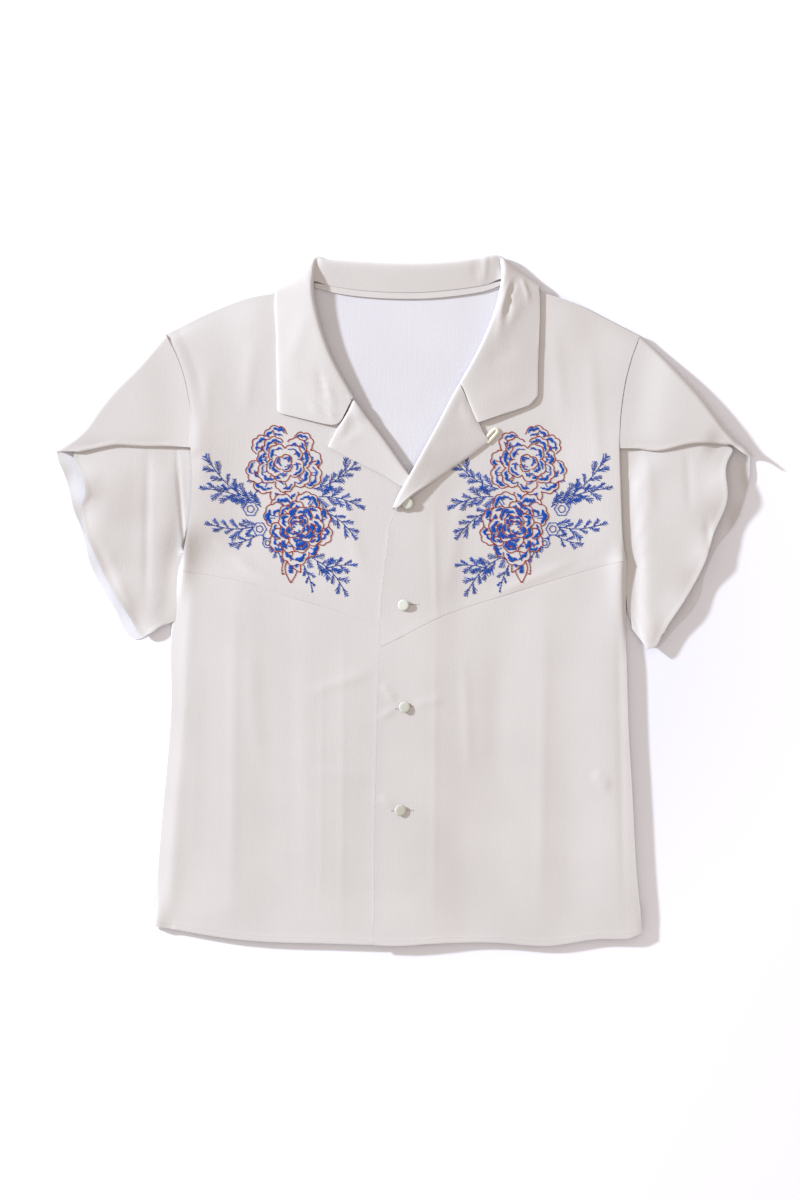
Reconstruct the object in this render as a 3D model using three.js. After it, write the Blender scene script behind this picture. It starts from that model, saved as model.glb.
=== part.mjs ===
// A camp-collar blouse laid flat on its back, in millimetres.
// +X runs to the viewer's right, +Y towards the collar and +Z up from the surface it lies on.
// The body is six panels and a back, each sleeve two overlapping petals, and the collar one
// sheet that stands up from the neck seam, rolls over and falls outwards.

import * as THREE from 'three';

// Cloth and seams
const CLOTH = 1.2;                // wall of one layer of crepe
const DOUBLE_CLOTH = 1.5;         // collar and lapels, two layers pressed together
const TAPE = 1.0;                 // binding over the back neck seam
const TAPE_ENDS = 0.01;            // share of the back neck that it leaves at each end
const TAPE_WIDTH = 5;             // how far it reaches down from the neck seam
const SEAM_GAP = 0.34;            // between the edges of two joined panels
const ARMHOLE_GAP = 0.9;          // between a body panel and a sleeve, whose edges curve
const LAYER_GAP = 0.4;            // air between two layers that lie on each other

// Rests of one layer above another
const COLLAR_LIFT = 1.8;          // the back panel over the collar's fall
const PLACKET_LIFT = 1.8;         // the top front over the under front
const ARMHOLE_RISE = { petal: 3.4, cap: 1.9, from: 150, to: 186, width: 60 };   // up its height
const SIDE_ROLL = { height: 3.4, peak: 6 };
const HEM_RISE = { height: 2.0, width: 46 };
const SEAM_EASE = { shoulder: 14, side: 20 };   // where a front comes free of these seams
const PLACKET_EASE = { from: 4, to: 26 };       // beyond the under front's hidden edge
const UNDERARM = { side: 12, armhole: -30, slope: 1.4 };   // where the side turns into the armhole
const UNDER_FRONT_EDGE = 25;      // hidden edge of the under front, at +X

// Buttons and loop
const BUTTON = { radius: 5.8, height: 3.0, rim: 1.1, dome: 0.7 };
const LOOP = { cord: 1.35, width: 4.6, length: 12.5, foot: { x: 84.7, y: 165.6 }, angle: 42 };

// Side seams, hem to yoke seam
const LEFT_SIDE = table('x y', [-252, -324.5], [-247.5, -300], [-244.5, -255], [-241, -213],
  [-236.3, -165], [-231.5, -101], [-231.6, -68], [-228.5, -19], [-226, 7], [-224.5, 31]);
const RIGHT_SIDE = table('x y', [238, -331.5], [236, -305], [232, -260.6], [229, -197],
  [225, -133], [223.2, -69], [221.5, -11.6], [222, 10.4], [222.3, 41]);

// Armholes, underarm to shoulder
const LEFT_ARMHOLE = table('x y', [-219, 54], [-213.4, 87], [-211.2, 130], [-212.3, 154],
  [-211.2, 174], [-213.4, 195], [-219, 223.5], [-226.4, 245], [-238, 266]);
const RIGHT_ARMHOLE = table('x y', [222.3, 41], [219.8, 56], [218, 92], [217, 122],
  [216, 153], [216.5, 171], [218.3, 195], [222.7, 222], [229.4, 246], [237, 264]);

// Shoulder seams, shoulder to neck
const LEFT_SHOULDER = table('x y', [-238, 266], [-192, 289], [-149, 304.5], [-129, 307], [-93, 318]);
const RIGHT_SHOULDER = table('x y', [237, 264], [200, 283], [168, 299], [136, 309], [101, 322]);

// Yoke seams, left end to right end
const LEFT_YOKE_SEAM = table('x y', [-224.5, 31], [-213, 29], [-188, 25], [-146, 17],
  [-113, 4], [-83, -4], [-53, -14], [-27, -24], [UNDER_FRONT_EDGE, -40]);
const RIGHT_YOKE_SEAM = table('x y', [-24, -46], [-7, -38], [37, -15], [97, 5],
  [142, 19], [197, 35], [222.3, 41]);

// Hems, left end to right end
const LEFT_HEM = table('x y', [-252, -324.5], [-231.5, -327.6], [-177, -337], [-129.5, -341],
  [-82, -342], [-30, -343.6], [UNDER_FRONT_EDGE, -343.6]);
const RIGHT_HEM = table('x y', [-30, -343.6], [-4, -345], [24.8, -342.4], [72.7, -341],
  [101, -341.6], [135.8, -345.4], [158.7, -343.9], [179.8, -339], [197, -336.8],
  [222, -337.8], [238, -331.5]);
const BACK_HEM = table('x y', [-252, -323.5], [-177, -334], [-82, -339], [0, -340],
  [100, -338], [180, -335], [238, -330]);

// Front edges: under front upwards from the hem, then the top front's free edge
const UNDER_EDGE_LOWER = table('x y', [UNDER_FRONT_EDGE, -343.6], [UNDER_FRONT_EDGE, -190],
  [UNDER_FRONT_EDGE, -40]);
const UNDER_EDGE_UPPER = table('x y', [UNDER_FRONT_EDGE, -40], [UNDER_FRONT_EDGE, 30],
  [21, 88], [-1, 123], [-23, 161], [-44.5, 190], [-53, 203], [-70, 233], [-81, 257],
  [-89.5, 286], [-93.5, 306], [-93, 318]);
const TOP_EDGE_LOWER = table('x y', [-30, -343.6], [-29.7, -211], [-27.7, -149],
  [-26.7, -90], [-24, -46]);
const TOP_EDGE_UPPER = table('x y', [-24, -46], [-23, 7], [-19, 30], [-16.5, 61], [-12, 83],
  [-5.5, 97], [9.5, 121], [42, 181], [59, 214], [81, 256], [96, 295], [100, 312], [101, 322]);

// Neck seam of the back panel, left to right
const BACK_NECK = table('x y', [-93, 318], [-76, 317], [-58, 314], [-30, 312], [0, 311.5],
  [27, 312], [67, 316], [88, 320], [101, 322]);

// Soft standing folds of the fronts: a ridge from one end to the other
const FRONT_FOLDS = table('x0 y0 x1 y1 width height',
  [-168, 0, -174, -300, 26, 1.4],
  [-104, -40, -100, -290, 18, 0.9],
  [-58, -60, -68, -320, 13, 0.6],
  [62, -30, 60, -200, 15, 0.7],
  [142, -20, 136, -300, 20, 1.2],
  [190, -70, 198, -310, 16, 0.8],
  [-190, 262, -197, 150, 15, 0.7],
  [-150, 285, -160, 175, 14, 0.5],
  [172, 285, 180, 130, 16, 0.7]);

// Collar, one row for each section from the left front edge round the neck to the right:
// the seam, the line where it rolls, a point midway on the leaf, the outer edge, the roll's
// radius, and how far the leaf has turned, from lying on the front (0) to under the back (180)
const COLLAR_COLUMNS = 'seamX seamY rollX rollY midX midY edgeX edgeY radius turn';
const COLLAR_LEFT = table(COLLAR_COLUMNS,
  [-54.5, 204.5, -50, 203.3, -65.8, 173.6, -125.5, 188, 1.6, 0],
  [-66, 222, -60, 220, -84, 199, -126, 208, 1.8, 0],
  [-79, 242, -70, 238, -98, 230, -126.5, 230, 2.0, 0],
  [-91, 263, -79, 259, -104, 255, -127, 256, 2.2, 0],
  [-99, 288, -86.5, 286, -108, 282, -128, 281, 2.4, 0],
  [-99, 306, -90.5, 307, -110, 303, -129, 300, 2.6, 0]);
const COLLAR_BACK = table(COLLAR_COLUMNS,
  [-76, 315.5, -76, 341, -88, 316, -103, 297, 3.4, 180],
  [-58, 312, -60, 340, -65, 312, -72, 287, 3.3, 180],
  [-29, 309, -30, 338, -32, 309, -34, 281, 3.2, 180],
  [0, 308, 0, 337, 0, 307, 0, 279, 3.2, 180],
  [27, 308.5, 30, 337.5, 32, 309, 34, 281, 3.2, 180],
  [67, 313, 65, 341, 70, 314, 76, 289, 3.3, 180],
  [85, 316.5, 84, 345, 98, 318, 112, 299, 3.4, 180]);
const COLLAR_RIGHT = table(COLLAR_COLUMNS,
  [105, 310, 97, 315, 117, 308, 136, 304, 2.6, 0],
  [104, 292, 93, 293, 115, 286, 136, 283, 2.4, 0],
  [94, 267, 82, 265, 109, 258, 135, 258, 2.2, 0],
  [80, 246, 71, 243, 101, 233, 134, 232, 2.0, 0],
  [70, 230, 62, 227, 88, 208, 134, 212, 1.8, 0],
  [60, 218, 55.4, 216.3, 73.8, 178.4, 134, 198, 1.6, 0]);
const LEFT_WRAP = { shoulderX: -127.7, shoulderY: 311.2, outX: -0.588, outY: 0.809, radius: 2.9 };
const RIGHT_WRAP = { shoulderX: 134, shoulderY: 314.2, outX: 0.56, outY: 0.828, radius: 2.9 };
const WRAP_SHIFT = { inward: 7, down: 2.7, seam: [60, 150] };   // of the fall as it turns under
const WRAP_ROLL = table('turn seamX seamY rollX rollY radius',
  [12, -97, 313, -90, 320, 2.7],
  [50, -94, 317, -89, 334, 3.0],
  [90, -90, 319.5, -87, 344, 3.2],
  [130, -86, 319, -83.5, 344, 3.3],
  [168, -81, 317, -80, 342.5, 3.4]);
const WRAP_ROLL_RIGHT = table('turn seamX seamY rollX rollY radius',
  [12, 104, 317, 98.5, 324, 2.7],
  [50, 102, 320.5, 98.5, 335, 3.0],
  [90, 98, 322, 97.5, 343, 3.2],
  [130, 94, 321, 94, 345, 3.3],
  [168, 90, 319, 89, 345.5, 3.4]);

// Lapels, a row for each section down the roll line to the foot of the neck opening
const LEFT_LAPEL = table(COLLAR_COLUMNS,
  [-54, 203.5, -49.6, 202.2, -57, 188, -66.1, 172.6, 1.5, 0],
  [-46.5, 190, -42, 191, -55, 178, -71, 163, 1.5, 0],
  [-37, 176, -32.5, 178, -52, 166, -75.5, 154, 1.5, 0],
  [-29, 166, -24.5, 168, -43, 157, -63, 147.5, 1.5, 0],
  [-18.5, 150, -14, 153.5, -26, 145, -41, 136, 1.4, 0],
  [-8, 134, -3.5, 138, -11, 132, -19, 125.5, 1.3, 0],
  [-3, 126, 1.5, 130.5, -2.5, 125, -8, 119.5, 1.2, 0]);
const RIGHT_LAPEL = table(COLLAR_COLUMNS,
  [58.4, 214, 54.2, 214.2, 62.2, 197, 72.8, 177, 1.5, 0],
  [50, 200, 45.5, 199, 61, 185, 80, 168, 1.5, 0],
  [41.5, 183, 37, 181, 59, 170, 86, 159, 1.5, 0],
  [32, 168, 28, 165, 49, 157, 71, 147, 1.5, 0],
  [20, 148, 16, 143, 32, 138, 49, 133, 1.5, 0],
  [9, 128, 5, 123, 16, 119, 28, 117.5, 1.4, 0],
  [-1, 112, -4.5, 106, 2, 105, 9, 106.5, 1.3, 0],
  [-8, 98, -11, 92.5, -7, 92.5, -3, 95.5, 1.2, 0]);

// Sleeves. fold is the outer edge from the shoulder to the cuff's outer point; capHem is the
// over petal's hem across the front, backHem the same hem behind, and petalHem the front
// petal's hem. All run from the cap down to the underarm.
const LEFT_SLEEVE = {
  fold: table('x y', [-238.3, 265], [-265.4, 234], [-288.2, 213], [-306.6, 191], [-319.6, 171],
    [-332.6, 160], [-347.5, 151.5]),
  capStart: { x: -212.4, y: 167 },
  capHem: table('x y', [-213.2, 153.4], [-224, 154], [-242, 155.4], [-263, 154], [-286, 157],
    [-300, 155], [-310, 150], [-323.7, 149], [-335, 151]),
  backHem: table('x y', [-346, 141], [-341, 133], [-333.5, 109], [-330, 91], [-323.7, 78],
    [-319, 62], [-313, 36], [-306.7, 22], [-296, 4], [-286, -11], [-280, -28], [-269, -41],
    [-250, -30], [-230, -20]),
  petalHem: table('x y', [-279, 206], [-297, 186], [-311, 168], [-324, 156], [-331.5, 147],
    [-328, 137], [-321, 124], [-315.3, 109], [-322, 95], [-321, 84], [-315.3, 62], [-306, 42],
    [-292, 12], [-278, -9], [-266.5, -28], [-262, -37.5], [-249, -30], [-230.4, -19]),
  petalTop: { x: -220.5, y: 222 },
  step: { height: 1.7, from: 7, to: 24 },
  rise: 3.2, waves: 5,
  bumps: table('x y width height', [-322, 112, 15, 2.4], [-250, 60, 20, 1.0], [-292, 48, 14, 1.2],
    [-299, 100, 30, 2.9], [-262, 120, 16, -0.6]),
};
const RIGHT_SLEEVE = {
  fold: table('x y', [237.4, 263], [265, 237], [287.4, 214.7], [303, 196.7], [314, 181.7],
    [325.4, 166.7], [336.6, 155], [348.2, 145]),
  capStart: { x: 216.8, y: 166 },
  capHem: table('x y', [217.4, 152.5], [231.8, 153], [243.4, 151], [253.4, 148.5], [261, 152],
    [271.6, 153.5], [288, 158], [296.5, 158], [315, 157], [330, 155]),
  backHem: table('x y', [347.4, 131], [345, 119], [340.6, 103], [335, 85.5], [326.8, 71],
    [313.8, 56], [304.6, 36], [299, 24], [299, 10], [285, -13], [269.7, -29], [258, -45],
    [252.5, -51], [236, -37], [227, -27]),
  petalHem: table('x y', [278, 207], [296, 186], [311, 167], [324, 153], [333, 151], [325, 144.5],
    [320.7, 137], [322, 118.5], [324, 110], [320, 89], [311.5, 74], [307.5, 62.5], [304, 47],
    [296, 28], [277, -5], [263.6, -24], [256, -40], [249, -51.5], [235, -36.5], [228, -27]),
  petalTop: { x: 222.5, y: 218 },
  step: { height: 3.6, from: 10, to: 21 },
  rise: 2.4, waves: 5,
  bumps: table('x y width height', [318, 112, 15, 1.8], [300, 40, 14, 1.2], [286, 96, 30, 1.3],
    [252, -30, 16, 1.2]),
};
const SLEEVE_RISE = [15, 135];    // from the body, where a sleeve rises to its fold
const BUMP_EASE = [4, 20];        // no bump right beside the armhole
const CUFF_RISE = { height: 1.6, from: 300, to: 350 };   // of the layer behind, at its outer point
const RUFFLE = { front: 1.3, back: 1.5, width: 0.2, damped: [122, 144],
  clear: [262, 292], start: 0.1 };            // waves of the petals' hems
const CAPPED = { from: 118, to: 148, stepEnd: 50 };   // the petal's step is softer under the cap
const SHOULDER_TIP_Y = 255;       // above it the armhole runs into the fold
const CAP_GAP = 2.0;              // between the middles of a cap and the petal under it

// Buttons down the top front, collar to hem
const BUTTONS = table('name x y', ['top', 4, 97.5], ['upper', 0, -4], ['middle', 1, -106],
  ['lower', -3, -209]);

const OVER_BUTTON = { height: 4.6, width: 18 };   // the right lapel's edge lies on the top button

const FABRIC = { color: '#e2dddb', roughness: 0.78 };
const SINGLE_FABRIC = { color: '#e9e6ee', roughness: 0.8 };
const TRIM = { color: '#e6e0d2', roughness: 0.7 };

// A table with named columns: one object for each row
function table(columns, ...rows) {
  const names = columns.split(' ');
  return rows.map(row => Object.fromEntries(names.map((name, index) => [name, row[index]])));
}

const mix = THREE.MathUtils.lerp;
const ease = (from, to, value) => THREE.MathUtils.smoothstep(value, from, to);
const point = (x, y, z = 0) => new THREE.Vector3(x, y, z);

// Even stops from 0 to 1, and stops that crowd towards the ends given by distances
const evenStops = count => Array.from({ length: count + 1 }, (_, index) => index / count);
function edgedStops(count, nearStart = [], nearEnd = []) {
  const low = nearStart.length ? nearStart[nearStart.length - 1] : 0;
  const high = nearEnd.length ? 1 - nearEnd[nearEnd.length - 1] : 1;
  const middle = evenStops(count).map(stop => mix(low, high, stop));
  const before = nearStart.length ? [0, ...nearStart.slice(0, -1)] : [];
  const after = nearEnd.length ? [...nearEnd.slice(0, -1).map(stop => 1 - stop).reverse(), 1] : [];
  return [...before, ...middle, ...after];
}

// A smooth plan curve through a table's rows, walked evenly by length from 0 to 1
function planCurve(rows) {
  const places = rows.map(({ x, y }) => point(x, y));
  const curve = new THREE.CatmullRomCurve3(places, false, 'centripetal');
  curve.arcLengthDivisions = 60 * rows.length;
  return share => curve.getPointAt(THREE.MathUtils.clamp(share, 0, 1));
}

// A sheet between four plan curves: bottom and top run left to right, the sides upwards
function panelPlan({ bottom, top, left, right }) {
  const corners = [bottom(0), bottom(1), top(0), top(1)];
  return (across, up) => {
    const place = bottom(across).multiplyScalar(1 - up).addScaledVector(top(across), up)
      .addScaledVector(left(up), 1 - across).addScaledVector(right(up), across);
    const weights = [(1 - across) * (1 - up), across * (1 - up), (1 - across) * up, across * up];
    corners.forEach((corner, index) => place.addScaledVector(corner, -weights[index]));
    return place;
  };
}

// A closed wall of even thickness about a grid of middle points, grid[column][row]
function wallGeometry(grid, thickness) {
  const columns = grid.length;
  const rows = grid[0].length;
  const normalAt = (column, row) => {
    const along = grid[Math.min(column + 1, columns - 1)][row].clone()
      .sub(grid[Math.max(column - 1, 0)][row]);
    const up = grid[column][Math.min(row + 1, rows - 1)].clone()
      .sub(grid[column][Math.max(row - 1, 0)]);
    return along.cross(up).normalize();
  };
  const positions = [];
  for (const side of [0.5, -0.5]) {
    for (let column = 0; column < columns; column += 1) {
      for (let row = 0; row < rows; row += 1) {
        const place = grid[column][row].clone().addScaledVector(normalAt(column, row), side * thickness);
        positions.push(place.x, place.y, place.z);
      }
    }
  }
  const outer = (column, row) => column * rows + row;
  const inner = (column, row) => columns * rows + column * rows + row;
  const faces = [];
  const quad = (a, b, c, d) => faces.push(a, b, c, a, c, d);
  for (let column = 0; column < columns - 1; column += 1) {
    for (let row = 0; row < rows - 1; row += 1) {
      quad(outer(column, row), outer(column + 1, row), outer(column + 1, row + 1), outer(column, row + 1));
      quad(inner(column, row), inner(column, row + 1), inner(column + 1, row + 1), inner(column + 1, row));
    }
  }
  for (let column = 0; column < columns - 1; column += 1) {
    const last = rows - 1;
    quad(outer(column, 0), inner(column, 0), inner(column + 1, 0), outer(column + 1, 0));
    quad(outer(column, last), outer(column + 1, last), inner(column + 1, last), inner(column, last));
  }
  for (let row = 0; row < rows - 1; row += 1) {
    const last = columns - 1;
    quad(outer(0, row), outer(0, row + 1), inner(0, row + 1), inner(0, row));
    quad(outer(last, row), inner(last, row), inner(last, row + 1), outer(last, row + 1));
  }
  if (signedVolume(positions, faces) < 0) {
    for (let index = 0; index < faces.length; index += 3) {
      [faces[index + 1], faces[index + 2]] = [faces[index + 2], faces[index + 1]];
    }
  }
  const geometry = new THREE.BufferGeometry();
  geometry.setAttribute('position', new THREE.Float32BufferAttribute(positions, 3));
  geometry.setIndex(faces);
  geometry.computeVertexNormals();
  return geometry;
}

function signedVolume(positions, faces) {
  const corner = index => new THREE.Vector3().fromArray(positions, 3 * index);
  let volume = 0;
  for (let index = 0; index < faces.length; index += 3) {
    const [a, b, c] = [faces[index], faces[index + 1], faces[index + 2]].map(corner);
    volume += a.dot(b.cross(c)) / 6;
  }
  return volume;
}

// Height of the soft folds at a place
function foldHeight(folds, x, y) {
  return folds.reduce((height, fold) => {
    const run = { x: fold.x1 - fold.x0, y: fold.y1 - fold.y0 };
    const share = ((x - fold.x0) * run.x + (y - fold.y0) * run.y) / (run.x ** 2 + run.y ** 2);
    const along = THREE.MathUtils.clamp(share, 0, 1);
    const away = Math.hypot(x - fold.x0 - along * run.x, y - fold.y0 - along * run.y);
    return height + fold.height * Math.exp(-((away / fold.width) ** 2));
  }, 0);
}

// The back panel lies on the surface, and on the collar's fall near the neck
const BACK_RAMP = { y: [205, 262], x: [136, 200] };
const backLift = (x, y) => COLLAR_LIFT * ease(...BACK_RAMP.y, y)
  * (1 - ease(...BACK_RAMP.x, Math.abs(x)));
const backMiddle = (x, y) => backLift(x, y) + CLOTH / 2;

// The top front also lies on the under front, as far as that one's hidden edge
const placketLift = x => PLACKET_LIFT
  * (1 - ease(UNDER_FRONT_EDGE + PLACKET_EASE.from, UNDER_FRONT_EDGE + PLACKET_EASE.to, x));

// Where a line through a table's rows crosses a height, or a place across
function edgeX(rows, y) {
  const sorted = [...rows].sort((a, b) => a.y - b.y);
  if (y <= sorted[0].y) return sorted[0].x;
  for (let index = 1; index < sorted.length; index += 1) {
    const [low, high] = [sorted[index - 1], sorted[index]];
    if (y <= high.y) return mix(low.x, high.x, (y - low.y) / (high.y - low.y));
  }
  return sorted[sorted.length - 1].x;
}
function edgeY(rows, x) {
  return edgeX(rows.map(row => ({ x: row.y, y: row.x })), x);
}

// The body's outline from hem to shoulder, which the sleeves stay clear of
const LEFT_BODY = [...LEFT_SIDE, ...LEFT_ARMHOLE];
const RIGHT_BODY = [...RIGHT_SIDE, ...RIGHT_ARMHOLE.slice(1)];
function clearOfBody(place, side) {
  const edge = edgeX(side < 0 ? LEFT_BODY : RIGHT_BODY, place.y) + side * ARMHOLE_GAP;
  if (side * (edge - place.x) > 0) place.x = edge;
  return place;
}

// Height of a front's middle at a place, for the left (-1) or the right (+1) front. It lies on
// the back, closed to it along the side and shoulder seams, and stands free along the hem.
function frontHeight(side, x, y) {
  const [sideRows, armholeRows, shoulderRows, hemRows] = side < 0
    ? [LEFT_SIDE, LEFT_ARMHOLE, LEFT_SHOULDER, LEFT_HEM]
    : [RIGHT_SIDE, RIGHT_ARMHOLE, RIGHT_SHOULDER, RIGHT_HEM];
  const underarm = armholeRows[0].y;
  const inward = rows => Math.max(0, side * (edgeX(rows, y) - x));
  const toSide = y < underarm + UNDERARM.side ? inward(sideRows) : Infinity;
  const toArmhole = y < underarm + UNDERARM.armhole ? Infinity
    : inward(armholeRows) + Math.max(0, UNDERARM.slope * (underarm + UNDERARM.side - y));
  const toShoulder = Math.max(0, edgeY(shoulderRows, x) - y);
  const toHem = Math.max(0, y - edgeY(hemRows, x));
  const share = toSide / SIDE_ROLL.peak;
  const roll = toSide === Infinity ? 0 : SIDE_ROLL.height * share * Math.exp(1 - share);
  const hem = HEM_RISE.height * (1 - ease(0, HEM_RISE.width, toHem)) * ease(0, SIDE_ROLL.peak, toSide);
  const armhole = mix(ARMHOLE_RISE.petal, ARMHOLE_RISE.cap, ease(ARMHOLE_RISE.from, ARMHOLE_RISE.to, y))
    * (1 - ease(0, ARMHOLE_RISE.width, toArmhole));
  const loose = ease(0, SEAM_EASE.side, toSide) * foldHeight(FRONT_FOLDS, x, y);
  const free = ease(0, SEAM_EASE.shoulder, toShoulder) * (Math.max(roll, hem) + armhole + loose);
  return backLift(x, y) + 1.5 * CLOTH + LAYER_GAP + free + (side > 0 ? placketLift(x) : 0);
}

// Columns and rows of a panel's wall, trimmed by the seam gap along its four edges
function panelGrid(plan, across, up, height, size, gap = SEAM_GAP) {
  const trim = (stop, length) => mix(gap / 2 / length, 1 - gap / 2 / length, stop);
  return across.map(column => up.map(row => {
    const place = plan(trim(column, size.width), trim(row, size.height));
    place.z = height(place.x, place.y);
    return place;
  }));
}

// Section of a collar or lapel: from the seam to the roll, round it and out to the edge
function rolledSection(section, seamZ, rollZ, edgeZ, stops) {
  const roll = point(section.rollX, section.rollY, rollZ);
  const flat = (x, y) => point(x, y).sub(point(section.rollX, section.rollY)).normalize();
  const outward = flat(section.seamX, section.seamY).add(flat(section.midX, section.midY));
  const bulge = outward.multiplyScalar(-1).normalize();
  const sideways = point(-bulge.y, bulge.x);
  if (sideways.dot(flat(section.midX, section.midY)) < 0) sideways.multiplyScalar(-1);
  const turn = THREE.MathUtils.degToRad(section.turn);
  const over = point(0, 0, Math.cos(turn)).addScaledVector(sideways, Math.sin(turn));
  const centre = roll.clone().addScaledVector(bulge, -section.radius);
  const around = angle => centre.clone()
    .addScaledVector(over, -section.radius * Math.cos(angle))
    .addScaledVector(bulge, section.radius * Math.sin(angle));
  const seam = point(section.seamX, section.seamY, seamZ);
  const first = around(0);
  const last = around(Math.PI);
  const middle = point(section.midX, section.midY, mix(last.z, edgeZ, ease(0, 1, 0.5)));
  const edge = point(section.edgeX, section.edgeY, edgeZ);
  const leaf = [...stops.inner.map(stop => last.clone().lerp(middle, stop)),
    ...stops.outer.map(stop => middle.clone().lerp(edge, stop))];
  return [...stops.stand.map(stop => seam.clone().lerp(first, stop)),
    ...stops.roll.map(around), ...leaf];
}
const ROLL_STOPS = { stand: [0, 0.5], roll: [0, 1, 2, 3, 4].map(step => step * Math.PI / 4),
  inner: [0.25, 0.6, 1], outer: [0.35, 0.7, 1] };
const LAPEL_STOPS = { stand: [0], roll: [0, 1, 2, 3].map(step => step * Math.PI / 3),
  inner: [0.5, 1], outer: [0.5, 1] };

const standHeight = CLOTH / 2 + LAYER_GAP + DOUBLE_CLOTH / 2;
const leafHeight = standHeight + 0.1;

// A section of the collar that lies over a front
function collarOverFront(section, side) {
  const seamZ = frontHeight(side, section.seamX, section.seamY) + standHeight;
  const edgeZ = frontHeight(side, section.edgeX, section.edgeY) + leafHeight;
  return rolledSection(section, seamZ, seamZ + section.radius, edgeZ, ROLL_STOPS);
}

// A section across the back neck: the stand above, the fall on the surface below
function collarUnderBack(section) {
  const seamZ = backMiddle(section.seamX, section.seamY) + standHeight;
  const rollZ = DOUBLE_CLOTH / 2 + section.radius;
  return rolledSection(section, seamZ, rollZ, DOUBLE_CLOTH / 2, ROLL_STOPS);
}

// Sections that carry the fall round a shoulder, from over the front to under the back
function collarWrap(rows, wrap, side) {
  return rows.map(row => {
    const turn = THREE.MathUtils.degToRad(row.turn);
    const swing = wrap.radius * Math.sin(turn);
    const tucked = Math.max(0, -Math.cos(turn));
    const outerX = wrap.shoulderX + wrap.outX * swing - side * WRAP_SHIFT.inward * tucked;
    const outerY = wrap.shoulderY + wrap.outY * swing - WRAP_SHIFT.down * Math.abs(Math.cos(turn));
    const edgeZ = DOUBLE_CLOTH / 2 + wrap.radius * (1 + Math.cos(turn));
    const seamFront = frontHeight(side, row.seamX, row.seamY) + standHeight;
    const seamBack = backMiddle(row.seamX, row.seamY) + standHeight;
    const seamZ = mix(seamFront, seamBack, ease(...WRAP_SHIFT.seam, row.turn));
    const rollZ = mix(seamFront + row.radius, DOUBLE_CLOTH / 2 + row.radius, ease(0, 180, row.turn));
    const section = { ...row, edgeX: outerX, edgeY: outerY,
      midX: mix(row.rollX, outerX, 0.5), midY: mix(row.rollY, outerY, 0.5) };
    return rolledSection(section, seamZ, rollZ, edgeZ, ROLL_STOPS);
  });
}

function collarGrid() {
  return [
    ...COLLAR_LEFT.map(section => collarOverFront(section, -1)),
    ...collarWrap(WRAP_ROLL, LEFT_WRAP, -1),
    ...COLLAR_BACK.map(collarUnderBack),
    ...collarWrap([...WRAP_ROLL_RIGHT].reverse(), RIGHT_WRAP, 1),
    ...COLLAR_RIGHT.map(section => collarOverFront(section, 1)),
  ];
}

function lapelGrid(rows, side) {
  return rows.map(section => {
    const seamZ = frontHeight(side, section.seamX, section.seamY) + standHeight;
    const toButton = Math.hypot(section.edgeX - BUTTONS[0].x, section.edgeY - BUTTONS[0].y);
    const edgeZ = frontHeight(side, section.edgeX, section.edgeY) + leafHeight
      + OVER_BUTTON.height * Math.exp(-((toButton / OVER_BUTTON.width) ** 2));
    return rolledSection(section, seamZ, seamZ + section.radius, edgeZ, LAPEL_STOPS);
  });
}

// Heights in a sleeve: the front petal, the cap over it and the layer behind
function petalHeight(sleeve, side, x, y) {
  const out = Math.max(0, side * (x - edgeX(side < 0 ? LEFT_BODY : RIGHT_BODY, y)));
  const bumps = sleeve.bumps.reduce((sum, bump) => sum + bump.height
    * Math.exp(-(((x - bump.x) ** 2 + (y - bump.y) ** 2) / bump.width ** 2)), 0);
  const stepEnd = mix(sleeve.step.to, CAPPED.stepEnd, ease(CAPPED.from, CAPPED.to, y));
  return 2 * CLOTH + sleeve.step.height * ease(sleeve.step.from, stepEnd, out)
    + sleeve.rise * ease(...SLEEVE_RISE, out) + bumps * ease(...BUMP_EASE, out);
}
const capHeight = (sleeve, side, x, y) => petalHeight(sleeve, side, x, y) + CAP_GAP;
const backLayerHeight = (side, x) => CLOTH / 2
  + CUFF_RISE.height * ease(CUFF_RISE.from, CUFF_RISE.to, side * x);
// A petal's hem waves: along runs from 0 to 1 beside the hem, out from 0 to 1 across to it
const ruffle = (sleeve, along, out) => ease(1 - RUFFLE.width, 1, out)
  * Math.sin(2 * Math.PI * sleeve.waves * along);

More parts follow.
